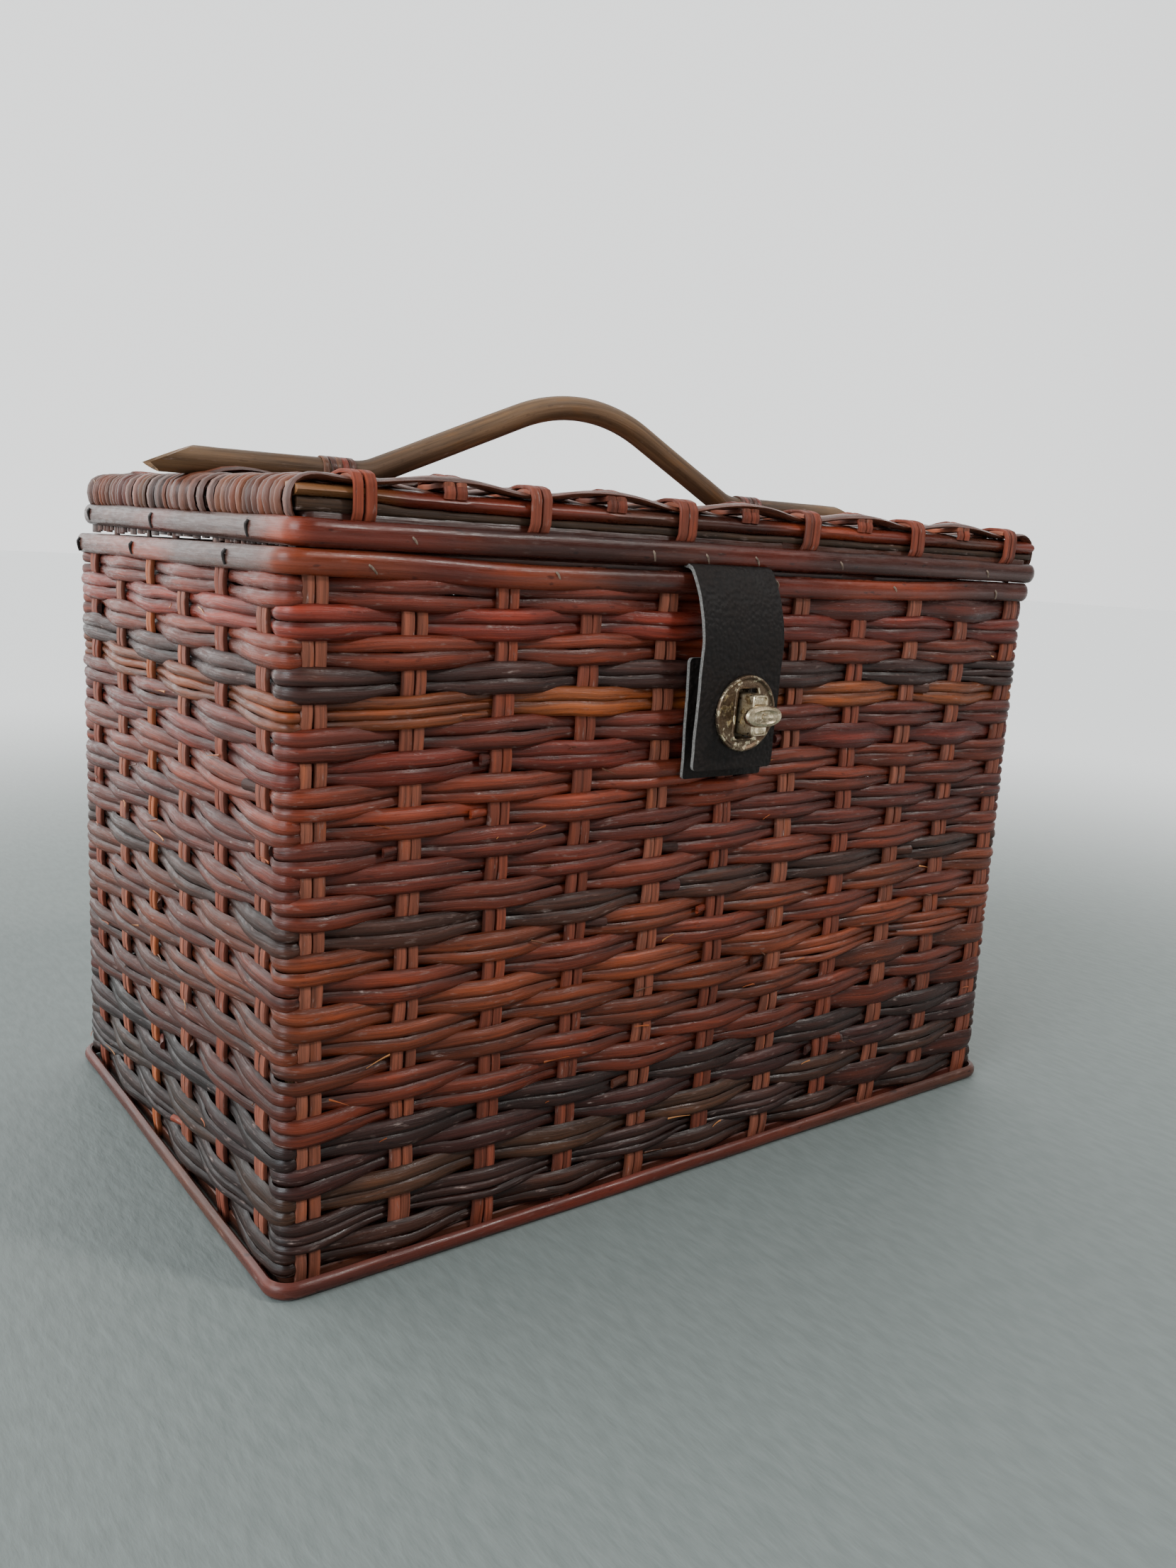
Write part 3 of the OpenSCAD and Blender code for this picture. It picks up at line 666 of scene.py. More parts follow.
def wall_stretch(strands, row, start, end, count, colours):
    """The skeins of one row between two stakes that it passes on the inside."""
    widths = skein_widths(count)
    low = -sum(widths)
    close = 0.84 + 0.06 * min(1, row / 12)
    for half_width, colour in zip(widths, colours):
        level = (low + half_width) * 0.95
        low += 2 * half_width
        first = start - rng.uniform(9, 15)
        last = end + rng.uniform(9, 15)
        thick = SKEIN_T * rng.uniform(0.92, 1.08) * (0.9 if count == 1 else 1.0)
        places, values = weave_knots(row, thick)
        s = WALL.samples(first, last)
        offset = smooth_steps(s, places, values)
        outness = within((offset + STAKE_CLEAR + thick) / (2 * STAKE_CLEAR + thick))
        tuck = np.exp(-((s - first) / 9) ** 2) + np.exp(-((last - s) / 9) ** 2)
        offset = offset - 1.1 * tuck + waver(s, 0.16, 70)
        fan = close + (1.02 - close) * outness
        z = row_height(row, s) + level * fan + waver(s, 0.42, 95) + waver(s, 0.16, 31)
        centre, out = WALL.at(s, z)
        centre = centre + out * offset[:, None]
        ahead = tangents(centre)
        lean = 0.07 * level + waver(s, 0.16, 60)
        face, side = leant(out, unit(np.cross(out, ahead)), ahead, lean)
        side = side * np.sign(side[:, 2:3])
        width = half_width * (0.97 + 0.11 * outness) * (1 + waver(s, 0.05, 110))
        # Painted shade: the skein is darker where it passes inside the stakes (with some dirt
        # there too), on the lower part of the left wall and on the right part of the front
        # wall. It is also darker towards the bottom.
        low_darkening = 0.58 + 0.42 * within(z / 170)
        left_painted_shade = 1 - 0.6 * within(-out[:, 0]) * within((230 - z) / 160)
        far_painted_shade = within(centre[:, 0] / 150) * (0.14 + 0.2 * within(z / 200))
        front_painted_shade = 1 - within(-out[:, 1]) * far_painted_shade
        shade = low_darkening * left_painted_shade * front_painted_shade * (0.5 + 0.5 * outness ** 0.7)
        strands.sweep(centre, face, side, width, thick, colour * shade[:, None])


def wall_row(strands, row):
    """One row of the wall, in stretches that differ in tone and in number of skeins. The
    row's own tone runs over the left and front walls, and the rest is mixed."""
    inside = [s for i, s in enumerate(STAKE_S) if (i + row) % 2 == 0]
    sides = [[s for s in inside if WALL.side_start(i) <= s < WALL.side_start(i + 1)]
             for i in range(4)]
    name = ROW_TONES[row]
    back = rng.choice(sides[2][2:])
    front = rng.choice(sides[0][1:]) + WALL.length
    right = rng.choice(sides[1]) + WALL.length
    far = rng.choice([name, "russet", "chestnut", "umber", "plum"])
    bounds = [(back, front, name), (front, right, name),
              (right, back + WALL.length, far)]
    for start, end, stretch in bounds:
        count = rng.choice([1, 2, 2, 2, 2, 2, 2, 3])
        other = rng.choice(["russet", "chestnut", "plum", "umber"])
        base = tone(stretch, 0.12, other if rng.random() < 0.35 else None)
        colours = [base * rng.uniform(0.86, 1.16) for _ in range(count)]
        wall_stretch(strands, row, start, end, count, colours)


def wall_bands():
    """The woven walls in bands of two rows, each band a closed ring of skeins."""
    nodes = ["front_weave", "back_weave", "left_weave", "right_weave"]
    for band, first in enumerate(range(0, ROWS, 2)):
        strands = Strands()
        for row in range(first, min(first + 2, ROWS)):
            wall_row(strands, row)
        strands.place(f"wall_weave_{band + 1:02d}", WILLOW, "basket", "willow_weave",
                      *nodes)


CUT_ENDS, SPLINTERS = 46, 120


def cut_ends_and_splinters():
    """Cut ends of skeins that poke out beside a stake, and raised slivers."""
    strands = Strands()
    for _ in range(CUT_ENDS):
        i = rng.randrange(len(STAKE_S))
        row = rng.randrange(1, ROWS - 1)
        row += (i + row) % 2
        row = min(row, ROWS - 2)
        way = rng.choice([-1, 1])
        s = STAKE_S[i] + way * np.linspace(1.0, rng.uniform(9, 14), 6)
        t = np.linspace(0, 1, 6)
        z = row_height(row, s) + rng.uniform(-2.6, 2.6)
        centre, out = WALL.at(s, z)
        centre = centre + out * (-3.0 + 3.6 * t ** 1.2)[:, None]
        half = rng.uniform(1.5, 2.6)
        colour = tone(rng.choice(["dusk", "umber", "plum", "russet"]), 0.2)
        strands.sweep(centre, out, UP, half, 2.0, colour)
    for _ in range(SPLINTERS):
        s0 = rng.uniform(0, WALL.length)
        s = s0 + np.linspace(0, rng.uniform(4, 11), 5) * rng.choice([-1, 1])
        t = np.linspace(0, 1, 5)
        z = WEAVE_LOW + rng.uniform(6, 225) + rng.uniform(-3, 3) * t
        centre, out = WALL.at(s, z)
        centre = centre + out * (1.9 + 1.5 * t ** 2)[:, None]
        colour = tone(rng.choice(["straw", "honey", "olive"]), 0.15)
        strands.sweep(centre, out, UP, 0.42 * (1.05 - t), 0.3, colour)
    strands.place("wall_cut_ends", WILLOW, "basket", "willow_weave")


def wall_stakes(name, side, places, orange=None):
    """One wall's stakes: pairs of flat strips that give way to each row in turn. The
    orange one is slimmer."""
    strands = Strands()
    half_run = WALL.side_lengths[side] / 2
    first = sum([len(FRONT_STAKES), len(SIDE_STAKES)][i % 2] for i in range(side))
    z = np.arange(1.6, RIM_HIGH[2] - 0.8, 1.9)
    for i, place in enumerate(places):
        push = 0.42 * give_way(z, WEAVE_LOW, ROW_PITCH, ROWS + 1, first + i)
        split = rng.uniform(-0.5, 0.5)
        slim = 0.72 if i == orange else 1.0
        tones = "stake_orange" if i == orange else rng.choice(["stake", "stake", "stake_red"])
        for strip in (-1, 1):
            half = 2.2 + strip * split * 0.6
            shift = strip * (half + 0.06) + split * 0.6
            wander = waver(z, 0.45, 150) + waver(z, 0.12, 40)
            s = WALL.side_start(side) + half_run + place + (shift + wander) * slim
            centre, out = WALL.at(s, z)
            centre = centre + out * (push - STRIP_T / 2 + waver(z, 0.12, 50))[:, None]
            across = unit(np.cross(UP, out))
            colour = tone(tones, 0.14, "stake_red")
            strands.sweep(centre, out, across, half * slim, STRIP_T, colour, STRIP)
    strands.place(name + "_strips", WILLOW_STAKE, "basket", "willow_stake", name)


def mixed_tones(s, names):
    """Colours along a strip that pass through the named tones at even distances."""
    names = names.split()
    return placed_tones(s, np.linspace(s[0], s[-1], len(names)), names)


def placed_tones(s, places, names):
    """Colours at the running lengths s, eased between named tones at the places."""
    places = np.array(places)
    colours = np.array([varnished(name) for name in names])
    low = np.clip(np.searchsorted(places, s, "right") - 1, 0, len(places) - 2)
    part = within((s - places[low]) / (places[low + 1] - places[low]))[:, None]
    part = part * part * (3 - 2 * part)
    return colours[low] * (1 - part) + colours[low + 1] * part


# Half width, half depth and corner radius of what the rim strips run round
OUTER_LOOP = HALF_W - RIM_T, HALF_D - RIM_T, 5.7
INNER_LOOP = STAKE_X - 1.0, STAKE_Y - 1.0, 4.3
BORDER_LOOP = HALF_W - 1.7, HALF_D - 1.7, 7.3
RIM_LAP = 26.0


def rim_strip(strands, loop, z, height, thickness, marks, start, level_edge=0, dip=0.0):
    """A half-round strip bent round a rectangle, its two ends shaved to lie on each
    other. z is the height of its lower edge. The lower edge stays level if level_edge
    is -1, and the upper one if it is 1. The front side sags by dip in its middle. Strips
    on the inner loop face inwards. marks tells running lengths and their tones."""
    inward = loop == INNER_LOOP
    loop = LoopPath(*loop)
    s = loop.samples(start, start + loop.length + RIM_LAP)
    ends = np.minimum(within((s - s[0]) / RIM_LAP), within((s[-1] - s) / RIM_LAP))
    half = height / 2 * (1 + waver(s, 0.035, 150))
    wander = waver(s, 0.22, 240) + waver(s, 0.1, 66)
    middle = z + height / 2 + (level_edge * (height / 2 - half) if level_edge else wander)
    round_s = np.mod(s, loop.length)
    front = within((round_s - 15) / 75) * within((350 - round_s) / 90)
    middle = middle - dip * front * front * (3 - 2 * front)
    centre, out = loop.at(s, middle)
    face = -out if inward else out
    thick = thickness * (0.12 + 0.88 * ends) * (1 + waver(s, 0.05, 130))
    centre = centre + face * (0.9 * (1 - ends) * (s > start + loop.length / 2))[:, None]
    marks = marks.split()
    places = [float(place) for place in marks[::2]]
    colour = placed_tones(round_s, places + [places[0] + loop.length],
                          marks[1::2] + marks[1:2])
    strands.sweep(centre, face, UP, half, thick, colour, RIM)


def rim(node, body, *strips):
    """The strips that stand for a CAD rim."""
    strands = Strands()
    for strip in strips:
        rim_strip(strands, **strip)
    strands.place(node + "_strip", WILLOW_RIM, body, "rim_strip", node)


def basket_rims():
    # The grey on the outer strip's left side is partly its own tone and partly a painted
    # reflection of the window light, and the amber at its front left corner is partly tone and
    # partly a painted highlight.
    rim("body_rim_outer", "basket", dict(
        loop=OUTER_LOOP, z=RIM_LOW[2], height=8.45, thickness=RIM_T - 0.2, start=760,
        level_edge=1, dip=2.0, marks=(
            "0 rim_amber 22 rim_amber 48 rim_red 90 rim_amber 130 rim_dark 200 rim_red "
            "270 russet 340 rim_dark 420 rim_red 600 russet 760 rim_dark 960 rim_grey "
            "1080 russet 1110 rim_grey 1175 rim_grey")))
    rim("body_rim_inner", "basket", dict(
        loop=INNER_LOOP, z=243.0, height=7.5, thickness=RIM_T - 0.3, start=240,
        level_edge=1,
        marks="0 umber 300 rim_dark 620 russet 900 rim_dark"))
    rim("base_border", "basket", dict(
        loop=BORDER_LOOP, z=0.1, height=BORDER_TOP - 0.2, thickness=3.0, start=900,
        marks="0 plum 120 rim_red 360 umber 700 rim_red 980 plum 1150 umber"), dict(
        loop=INNER_LOOP, z=0.3, height=5.8, thickness=2.1, start=240,
        marks="0 umber 400 plum 800 rim_dark"))


def bent_wire(strands, point, out, way, length, radius):
    """A wire pin's end, bent over the strip that it holds: out of it and along way."""
    t = np.linspace(0, 1, 9)[:, None]
    rise = np.minimum(t * 4, 1.0)
    centre = point + out * (rise * 1.5 * radius - 1.3 * t ** 2) + way * (t * length)
    ahead = tangents(centre)
    side = unit(np.cross(out, ahead))
    up = unit(np.cross(ahead, side))
    strands.sweep(centre - up * radius, up, side, radius, 2 * radius,
                  varnished("pith"), WIRE)


PIN_DEPTH = 8.1  # from a pin's bent end outside to its tip inside


def rim_pins(name, z, xs, ys, body, node):
    """The wire pins' bent ends on the outside of a rim, and their clinched tips inside:
    thin bright tips on the long sides, and thick dark ones on the short sides."""
    tips, dark = Strands(), Strands()
    pins = [(x * X_AXIS, -Y_AXIS, tips) for x in xs] + [(-x * X_AXIS, Y_AXIS, tips) for x in xs]
    pins += [(y * Y_AXIS, side * X_AXIS, dark) for side in (-1, 1) for y in ys]
    for along, out, strands in pins:
        if strands is tips:
            radius, length, slope, low, reach = 0.42, 4.0, 0.9, 1.0, HALF_D
        else:
            radius, length, slope, low, reach = 0.66, 5.6, 0.28, 0.0, HALF_W
        point = along + out * (reach - 0.5) + z * UP
        slant = np.array([out[1] * slope, out[0] * slope, 0.0]) * rng.uniform(-1.3, -0.5)
        way = unit(slant - UP)
        for sign, depth in ((1, 0.0), (-1, PIN_DEPTH)):
            start = point - low * UP - out * depth - way * length * 0.45
            bent_wire(strands, start, out * sign, way, length * rng.uniform(0.85, 1.1),
                      radius)
    tips.place(name + "_wires", WIRE_TIP, body, "wire_pin", node)
    dark.place(name + "_side_wires", WIRE_DARK, body, "wire_pin")


def base_weave():
    """The woven base: rows along the length over strips across it, inside four sticks."""
    low, high = box_mm("base_panel")
    skeins, strips = Strands(), Strands()
    plane = (low[2] + high[2]) / 2
    pitch = (high[1] - low[1]) / BASE_ROWS
    xs = [FRONT_PITCH * i for i in range(-4, 5)]
    edge = high[0] + 2.0
    x = np.arange(-edge, edge + 1, 4.0)
    for row in range(BASE_ROWS):
        knots = [-edge - 20, *xs, edge + 20]
        values = [(0.95 if (i + row) % 2 else -3.1) for i in range(len(knots))]
        z = plane + smooth_steps(x, np.array(knots), np.array(values))
        y = low[1] + pitch * (row + 0.5) + waver(x, 0.4, 120)
        centre = columns(x, y, z)
        count = rng.choice([1, 2])
        for part in range(count):
            half = pitch * 0.49 / count
            shift = (part - (count - 1) / 2) * half * 2.0
            colour = tone(rng.choice(["umber", "chestnut", "plum", "russet"]), 0.15)
            skeins.sweep(centre + [0, shift, 0], UP, Y_AXIS, half, 2.1, colour)
    y = np.arange(low[1] - 1.5, high[1] + 2.5, 2.4)
    for i, place in enumerate(xs):
        z = plane - STRIP_T / 2 + 0.3 * give_way(y, low[1], pitch, BASE_ROWS, i + 1)
        for strip in (-1, 1):
            centre = columns(place + strip * 2.1 + waver(y, 0.3, 90), y, z)
            strips.sweep(centre, UP, X_AXIS, 2.0, STRIP_T, tone("stake_red", 0.12), STRIP)
    skeins.place("base_weave", WILLOW, "basket", "willow_dark", "base_panel")
    strips.place("base_stakes", WILLOW_STAKE, "basket", "willow_stake")


def stick(strands, start, end, out, half_width, thickness, colour, section=CANE):
    """A straight stick with a little wander, sawn square. start and end are the middle
    of its back."""
    start, end, out = (np.array(p, float) for p in (start, end, out))
    count = max(8, int(np.linalg.norm(end - start) / 7))
    t = np.linspace(0, 1, count)[:, None]
    run = np.linalg.norm(end - start) * t[:, 0]
    ahead = unit(end - start)
    side = np.cross(out, ahead)
    centre = start + (end - start) * t + side * waver(run, 0.2, 170)[:, None]
    width = half_width * (1 + waver(run, 0.03, 130))
    strands.sweep(centre, out, side, width, thickness * (1 + waver(run, 0.03, 90)),
                  colour, section)


def base_frame():
    strands = Strands()
    low, high = box_mm("base_front_stick")
    top, half_stick = high[2] - 0.2, 3.4
    y_in = -low[1] - half_stick - 0.1
    x_in = high[0] - half_stick - 0.1
    for side in (-1, 1):
        stick(strands, (-high[0] + 0.5, side * y_in, 0.2), (high[0] - 0.5, side * y_in, 0.2),
              (0, 0, 1), half_stick, top - 0.2, tone("cane_dark", 0.1))
        run = y_in - half_stick - 0.4
        stick(strands, (side * x_in, -run, 0.2), (side * x_in, run, 0.2),
              (0, 0, 1), half_stick, top - 0.2, tone("cane_dark", 0.1))
    strands.place("base_frame_sticks", WILLOW_CANE, "basket", "frame_stick",
                  "base_front_stick", "base_back_stick", "base_left_stick",
                  "base_right_stick")


# ---- lid ----

def lid_row_path(row, thick):
    """Side view of a lid row's flat back from left to right: up from behind the rim,
    over the end bar, over and under the stakes, and down again."""
    edge_row = row in (0, LID_ROWS - 1)
    tuck = TUCK_X
    slack = 0.3 + math.tan(LID_TILT) * 2 * HALF_D * (row + 0.5) / LID_ROWS
    down = 1.0 + rng.uniform(0.35, 0.95) * slack
    loose = rng.uniform(0, 0.5)
    left = [(-tuck + 1.9, LID_Z + 1.0 - down), (-tuck + 1.9, LID_RIM_TOP - 1.2),
            (-tuck + 0.3, BAR_Z + 0.3), (-tuck + 0.1 - loose, BAR_Z + 3.4),
            (-tuck + 0.5 - loose, BAR_TOP - 3.2), (-tuck + 1.7 - loose, BAR_TOP - 1.1),
            (-tuck + 3.4, BAR_TOP + 0.15), (-tuck + 5.6, BAR_TOP + 0.8),
            (-tuck + 8.0, BAR_TOP + 1.0), (-tuck + 10.5, BAR_TOP + 0.9)]
    stakes = []
    for i in range(-5, 6):
        over = (i + row) % 2 == 0
        if edge_row:
            z = BAR_TOP + (3.4 if over else 0.2)
        else:
            z = LID_PLANE + (STAKE_CLEAR if over else -STAKE_CLEAR - thick)
        stakes.append((i * LID_PITCH, z))
    right = [(-x, z) for x, z in reversed(left)]
    bend = np.array(left + stakes + right)
    xs = [bend[0, 0]]
    zs = [bend[0, 1]]
    for (x0, z0), (x1, z1) in zip(bend[:-1], bend[1:]):
        steps = 9 if abs(x1 - x0) > 12 else 2
        for k in range(1, steps + 1):
            t = k / steps
            ease = 0.5 - 0.5 * math.cos(math.pi * t) if steps > 2 else t
            xs.append(x0 + (x1 - x0) * t)
            zs.append(z0 + (z1 - z0) * ease)
    return np.array(xs), np.array(zs)


LID_TONES = ["lid_brown"] * 5 + ["umber", "chestnut", "olive", "olive", "plum"]
LEFT_FOOT_REACH = 84.0


def lid_weave():
    """The lid's rows, whose ends wrap down over the end bars and tuck behind the rim.
    Beside the cane's tails the rows part to make room."""
    strands = Strands()
    for row in range(LID_ROWS):
        count = rng.choice([1, 1, 2, 2]) if 0 < row < LID_ROWS - 1 else 1
        half = LID_ROW_PITCH * rng.uniform(0.50, 0.54) / count
        base = tone(rng.choice(LID_TONES), 0.12, "lid_brown")
        middle = -LID_SPAN / 2 + LID_ROW_PITCH * (row + 0.5)
        for part in range(count):
            thick = rng.uniform(1.5, 2.1)
            x, z = lid_row_path(row, thick)
            shift = (part - (count - 1) / 2) * half * 1.96
            y = middle + waver(x, 0.5, 160) + shift
            tail = within((np.abs(x - HANDLE_X) - LEFT_FOOT_REACH + 8) / 14)
            tail = tail * within((TUCK_X - 4 - np.abs(x)) / 12)
            y = y + np.sign(middle) * 4.2 * tail * np.exp(-(np.abs(middle) / 22) ** 2)
            z = z + 3.2 * tail * np.exp(-((np.abs(middle) - 7) / 6) ** 2)
            wrap = within((np.abs(x) - TUCK_X + 12) / 10)
            drop = within((BAR_TOP - z) / 12)
            y = y + drop * rng.uniform(-1.3, 1.3) - wrap * 0.3 * np.sign(middle)
            y = np.clip(y, -TUCK_Y + half, TUCK_Y - half)
            centre = columns(x, y, z)
            ahead = tangents(centre)
            side = squared_to(Y_AXIS, ahead)
            lean = waver(x, 0.16, 90) + rng.uniform(-0.34, 0.34) * (0.5 + 0.5 * wrap)
            out, side = leant(np.cross(ahead, side), side, ahead, lean)
            pinch = 1 - rng.uniform(0.10, 0.30) * wrap
            tint = base * rng.uniform(0.8, 1.15)
            # Painted shade: the wraps are darker where they go down behind the rim.
            shade = 1 - 0.35 * within((LID_RIM_TOP + 2.5 - z) / 3)[:, None]
            strands.sweep(centre, out, side, half * pinch * (1 + waver(x, 0.06, 80)),
                          thick, tint * shade)
    strands.place("lid_skeins", WILLOW, "lid", "willow_weave", "lid_weave", "lid_left_wrap",
                  "lid_right_wrap")


def lid_stakes():
    strands = Strands()
    y = np.arange(-TUCK_Y + 0.6, TUCK_Y, 2.4)
    for i in range(-5, 6):
        push = 0.3 * give_way(y, -LID_SPAN / 2, LID_ROW_PITCH, LID_ROWS, i + 1)
        z = LID_PLANE - STRIP_T / 2 + push
        z = z + 1.1 * within((np.abs(y) - TUCK_Y + 13) / 6)
        for strip in (-1, 1):
            x = i * LID_PITCH + strip * 2.15 + waver(y, 0.35, 110)
            centre = columns(x, y, z)
            strands.sweep(centre, UP, X_AXIS, 2.0 * rng.uniform(0.88, 1.05), STRIP_T,
                          tone("stake", 0.14, "stake_red"), STRIP)
    strands.place("lid_stake_strips", WILLOW_STAKE, "lid", "willow_stake", "lid_stakes")


# Side views, as (y, z), of a stake's turned-down end and of a lashing, near to far
LASH_FACE = TUCK_Y + 0.15
TURNED_DOWN = [(-19, 0.8), (-14, 2.4), (-9, 3.3), (-5, 2.6), (-2.2, 0.8), (-1.2, -1.5),
               (-1.6, -3.2)]
TURNED_DOWN = [(LASH_FACE + y, LID_PLANE + z) for y, z in TURNED_DOWN]
LASHED = [(-16, LID_PLANE + 1.0), (-10, LID_PLANE + 2.3), (-4, LID_PLANE + 2.2),
          (-1.2, LID_PLANE + 1.3), (0.1, LID_PLANE - 0.8), (0.25, BAR_Z + 5),
          (0.1, BAR_Z + 1.2), (-0.9, LID_RIM_TOP + 0.6), (-1.9, LID_RIM_TOP - 1.0),
          (-1.9, LID_Z + 1.2)]
LASHED = [(LASH_FACE + y, z) for y, z in LASHED]


def lid_lashings():
    """Flat strips that lash the front and back bars: over the bar, down its face and
    tucked behind the rim. Between them the stakes' own ends are turned down."""
    for sign, node in ((-1, "lid_front_lashings"), (1, "lid_back_lashings")):
        strands = Strands()
        for i in range(-5, 6):
            bend = np.array(LASHED if i % 2 else TURNED_DOWN)
            corner = np.arange(len(bend))
            t = np.linspace(0, len(bend) - 1, 34)
            y, z = np.interp(t, corner, bend[:, 0]), np.interp(t, corner, bend[:, 1])
            turn = rng.uniform(-0.05, 0.05)
            for strip in (-1, 1):
                x = sign * -1 * i * LID_PITCH + strip * 2.2 + turn * (z - BAR_Z)
                centre = columns(x, sign * y, z)
                ahead = tangents(centre)
                side = squared_to(X_AXIS, ahead)
                out = np.cross(ahead, side) * -sign
                out = out * np.sign((out @ np.array([0, sign, 1.0])))[:, None]
                strands.sweep(centre, out, side, 2.05 * rng.uniform(0.85, 1.1), 1.3,
                              tone("stake_red", 0.15, "russet"), STRIP)
        strands.place(node + "_strips", WILLOW_STAKE, "lid", "willow_stake", node)


def lid_bars():
    """Split sticks that frame the lid. The long ones show their sawn ends, and the dark
    pith below their bark."""
    bark, pith = Strands(), Strands()
    height = BAR_TOP - BAR_Z
    x = np.linspace(-TUCK_X, TUCK_X, 90)
    grown = within((x + TUCK_X - 22) / 16)
    share = 0.52 + 0.2 * grown + waver(x, 0.03, 90)
    for sign in (-1, 1):
        y = sign * (TUCK_Y - BAR_D)
        marks = "russet rim_red chestnut umber rim_dark russet rim_red umber chestnut"
        colour = mixed_tones(x, marks) * grown[:, None]
        colour = colour + varnished("bark") * (1 - grown)[:, None]
        out = sign * Y_AXIS
        half = height * share / 2
        bark.sweep(columns(x, y, BAR_TOP - half), out, UP, half,
                   BAR_D - 0.4 + waver(x, 0.15, 60), colour, RIM)
        half = height * (1 - share) / 2 + 0.3
        rough = waver(x, 0.25, 17) + waver(x, 0.12, 7)
        pith.sweep(columns(x * 0.997, y, BAR_Z + half), out, UP, half,
                   BAR_D - 1.7 + rough, tone("pith", 0.1), STRIP)
        # Painted shade: the end bars are coloured dark pith all over so that the gaps between
        # the lid's wraps look dark.
        run = TUCK_Y - BAR_D - 0.6
        end = sign * (TUCK_X - BAR_D)
        stick(bark, (end, -run, BAR_Z + height / 2), (end, run, BAR_Z + height / 2),
              (sign, 0, 0), height / 2, BAR_D - 0.9, tone("pith", 0.1), RIM)
    bark.place("lid_frame_bars", WILLOW_RIM, "lid", "frame_stick", "lid_front_bar",
               "lid_back_bar", "lid_left_bar", "lid_right_bar")
    pith.place("lid_bar_pith", WILLOW_STAKE, "lid", "frame_stick")


def lid_rims():
    # The grey on the outer strip's left side is partly its own tone and partly a painted
    # reflection of the window light.
    rim("lid_rim_outer", "lid", dict(
        loop=OUTER_LOOP, z=LID_Z, height=LID_RIM_H, thickness=RIM_T - 0.1, start=700,
        level_edge=-1, marks=(
            "0 rim_red 20 rim_red 70 rim_dark 150 rim_dark 190 rim_red 235 rim_dark "
            "390 dusk 620 rim_red 800 rim_dark 965 dusk 1020 rim_grey 1075 plum "
            "1105 rim_grey 1165 rim_grey 1195 russet")))
    rim("lid_rim_inner", "lid", dict(
        loop=INNER_LOOP, z=LID_Z + 1.0, height=10.2, thickness=RIM_T - 0.3, start=200,
        marks="0 rim_dark 320 umber 640 russet 920 rim_dark"))


# ---- handle ----

HANDLE_R = 5.4
TAIL_Z = 278.1
HANDLE_X, HANDLE_TOP = -2.5, 315.5
TOP_BEND_R, FOOT_BEND_R = 82.0, 25.0
LEFT_SLOPE, RIGHT_SLOPE = math.radians(22.7), math.radians(27.0)
LEFT_TIP, RIGHT_TIP = -196.5, 186.5
TIP_CUT, TIP_LEVEL, TIP_REACH = math.radians(24), -0.45, 30.0


def arch_reach(slope):
    """From the top of the arch to where the cane lies level on the lid."""
    rise = HANDLE_TOP - TAIL_Z - (TOP_BEND_R + FOOT_BEND_R) * (1 - math.cos(slope))
    return (TOP_BEND_R + FOOT_BEND_R) * math.sin(slope) + rise / math.tan(slope)


LEFT_FOOT = HANDLE_X - arch_reach(LEFT_SLOPE)
RIGHT_FOOT = HANDLE_X + arch_reach(RIGHT_SLOPE)


def bend(x, z, across, up, angles):
    """Points of an arc that starts level at (x, z)."""
    return [np.array([x + across * math.sin(a), z + up * (1 - math.cos(a))]) for a in angles]


def cane_path():
    """The cane's centre line from left to right, as x and z."""
    left = bend(LEFT_FOOT, TAIL_Z, FOOT_BEND_R, FOOT_BEND_R, np.linspace(0, LEFT_SLOPE, 7))
    top = bend(HANDLE_X, HANDLE_TOP, -TOP_BEND_R, -TOP_BEND_R,
               np.linspace(LEFT_SLOPE, -RIGHT_SLOPE, 25))
    right = bend(RIGHT_FOOT, TAIL_Z, -FOOT_BEND_R, FOOT_BEND_R,
                 np.linspace(RIGHT_SLOPE, 0, 7))
    rise, fall = ([a + (b - a) * t for t in (0.2, 0.4, 0.6, 0.8)]
                  for a, b in ((left[-1], top[0]), (top[-1], right[0])))
    return np.array([(x, TAIL_Z) for x in np.linspace(LEFT_TIP, LEFT_FOOT, 14)[:-1]]
                    + left + rise + top + fall + right
                    + [(x, TAIL_Z) for x in np.linspace(RIGHT_FOOT, RIGHT_TIP, 12)[1:]])


def handle():
    """One bent cane with both ends cut on the slant."""
    path = cane_path()
    count = len(path)
    ahead = tangents(columns(path[:, 0], np.zeros(count), path[:, 1]))
    up = columns(-ahead[:, 2], np.zeros(count), ahead[:, 0])
    side = np.array([0.0, 1.0, 0.0])
    run = run_along(path)
    radius = HANDLE_R * (0.985 + waver(run, 0.012, 75))
    sway = waver(run, 0.5, 260)
    turn = full_turn(28)
    centre = columns(path[:, 0], sway, path[:, 1])
    rings = (centre[:, None, :]
             + up[:, None, :] * (np.cos(turn) * radius[:, None])[:, :, None]
             + side * (np.sin(turn) * radius[:, None])[:, :, None])
    level = np.cos(turn)
    cut = np.where(level > TIP_LEVEL, (level - TIP_LEVEL) / math.tan(TIP_CUT),
                   (TIP_LEVEL - level) * 1.6) * HANDLE_R
    for tip, sign in ((LEFT_TIP, 1), (RIGHT_TIP, -1)):
        near = sign * (path[:, 0] - tip) < TIP_REACH
        share = 1 - sign * (path[near, 0] - tip) / TIP_REACH
        rings[near, :, 0] += sign * share[:, None] * cut
    strands = Strands()
    colour = mixed_tones(run, "cane cane_dark cane cane cane_dark cane")
    strands.add_rings(rings, colour, (turn - np.pi) * HANDLE_R)
    strands.place("cane_handle", WILLOW_CANE, "lid", "cane", "handle", sharp=40)


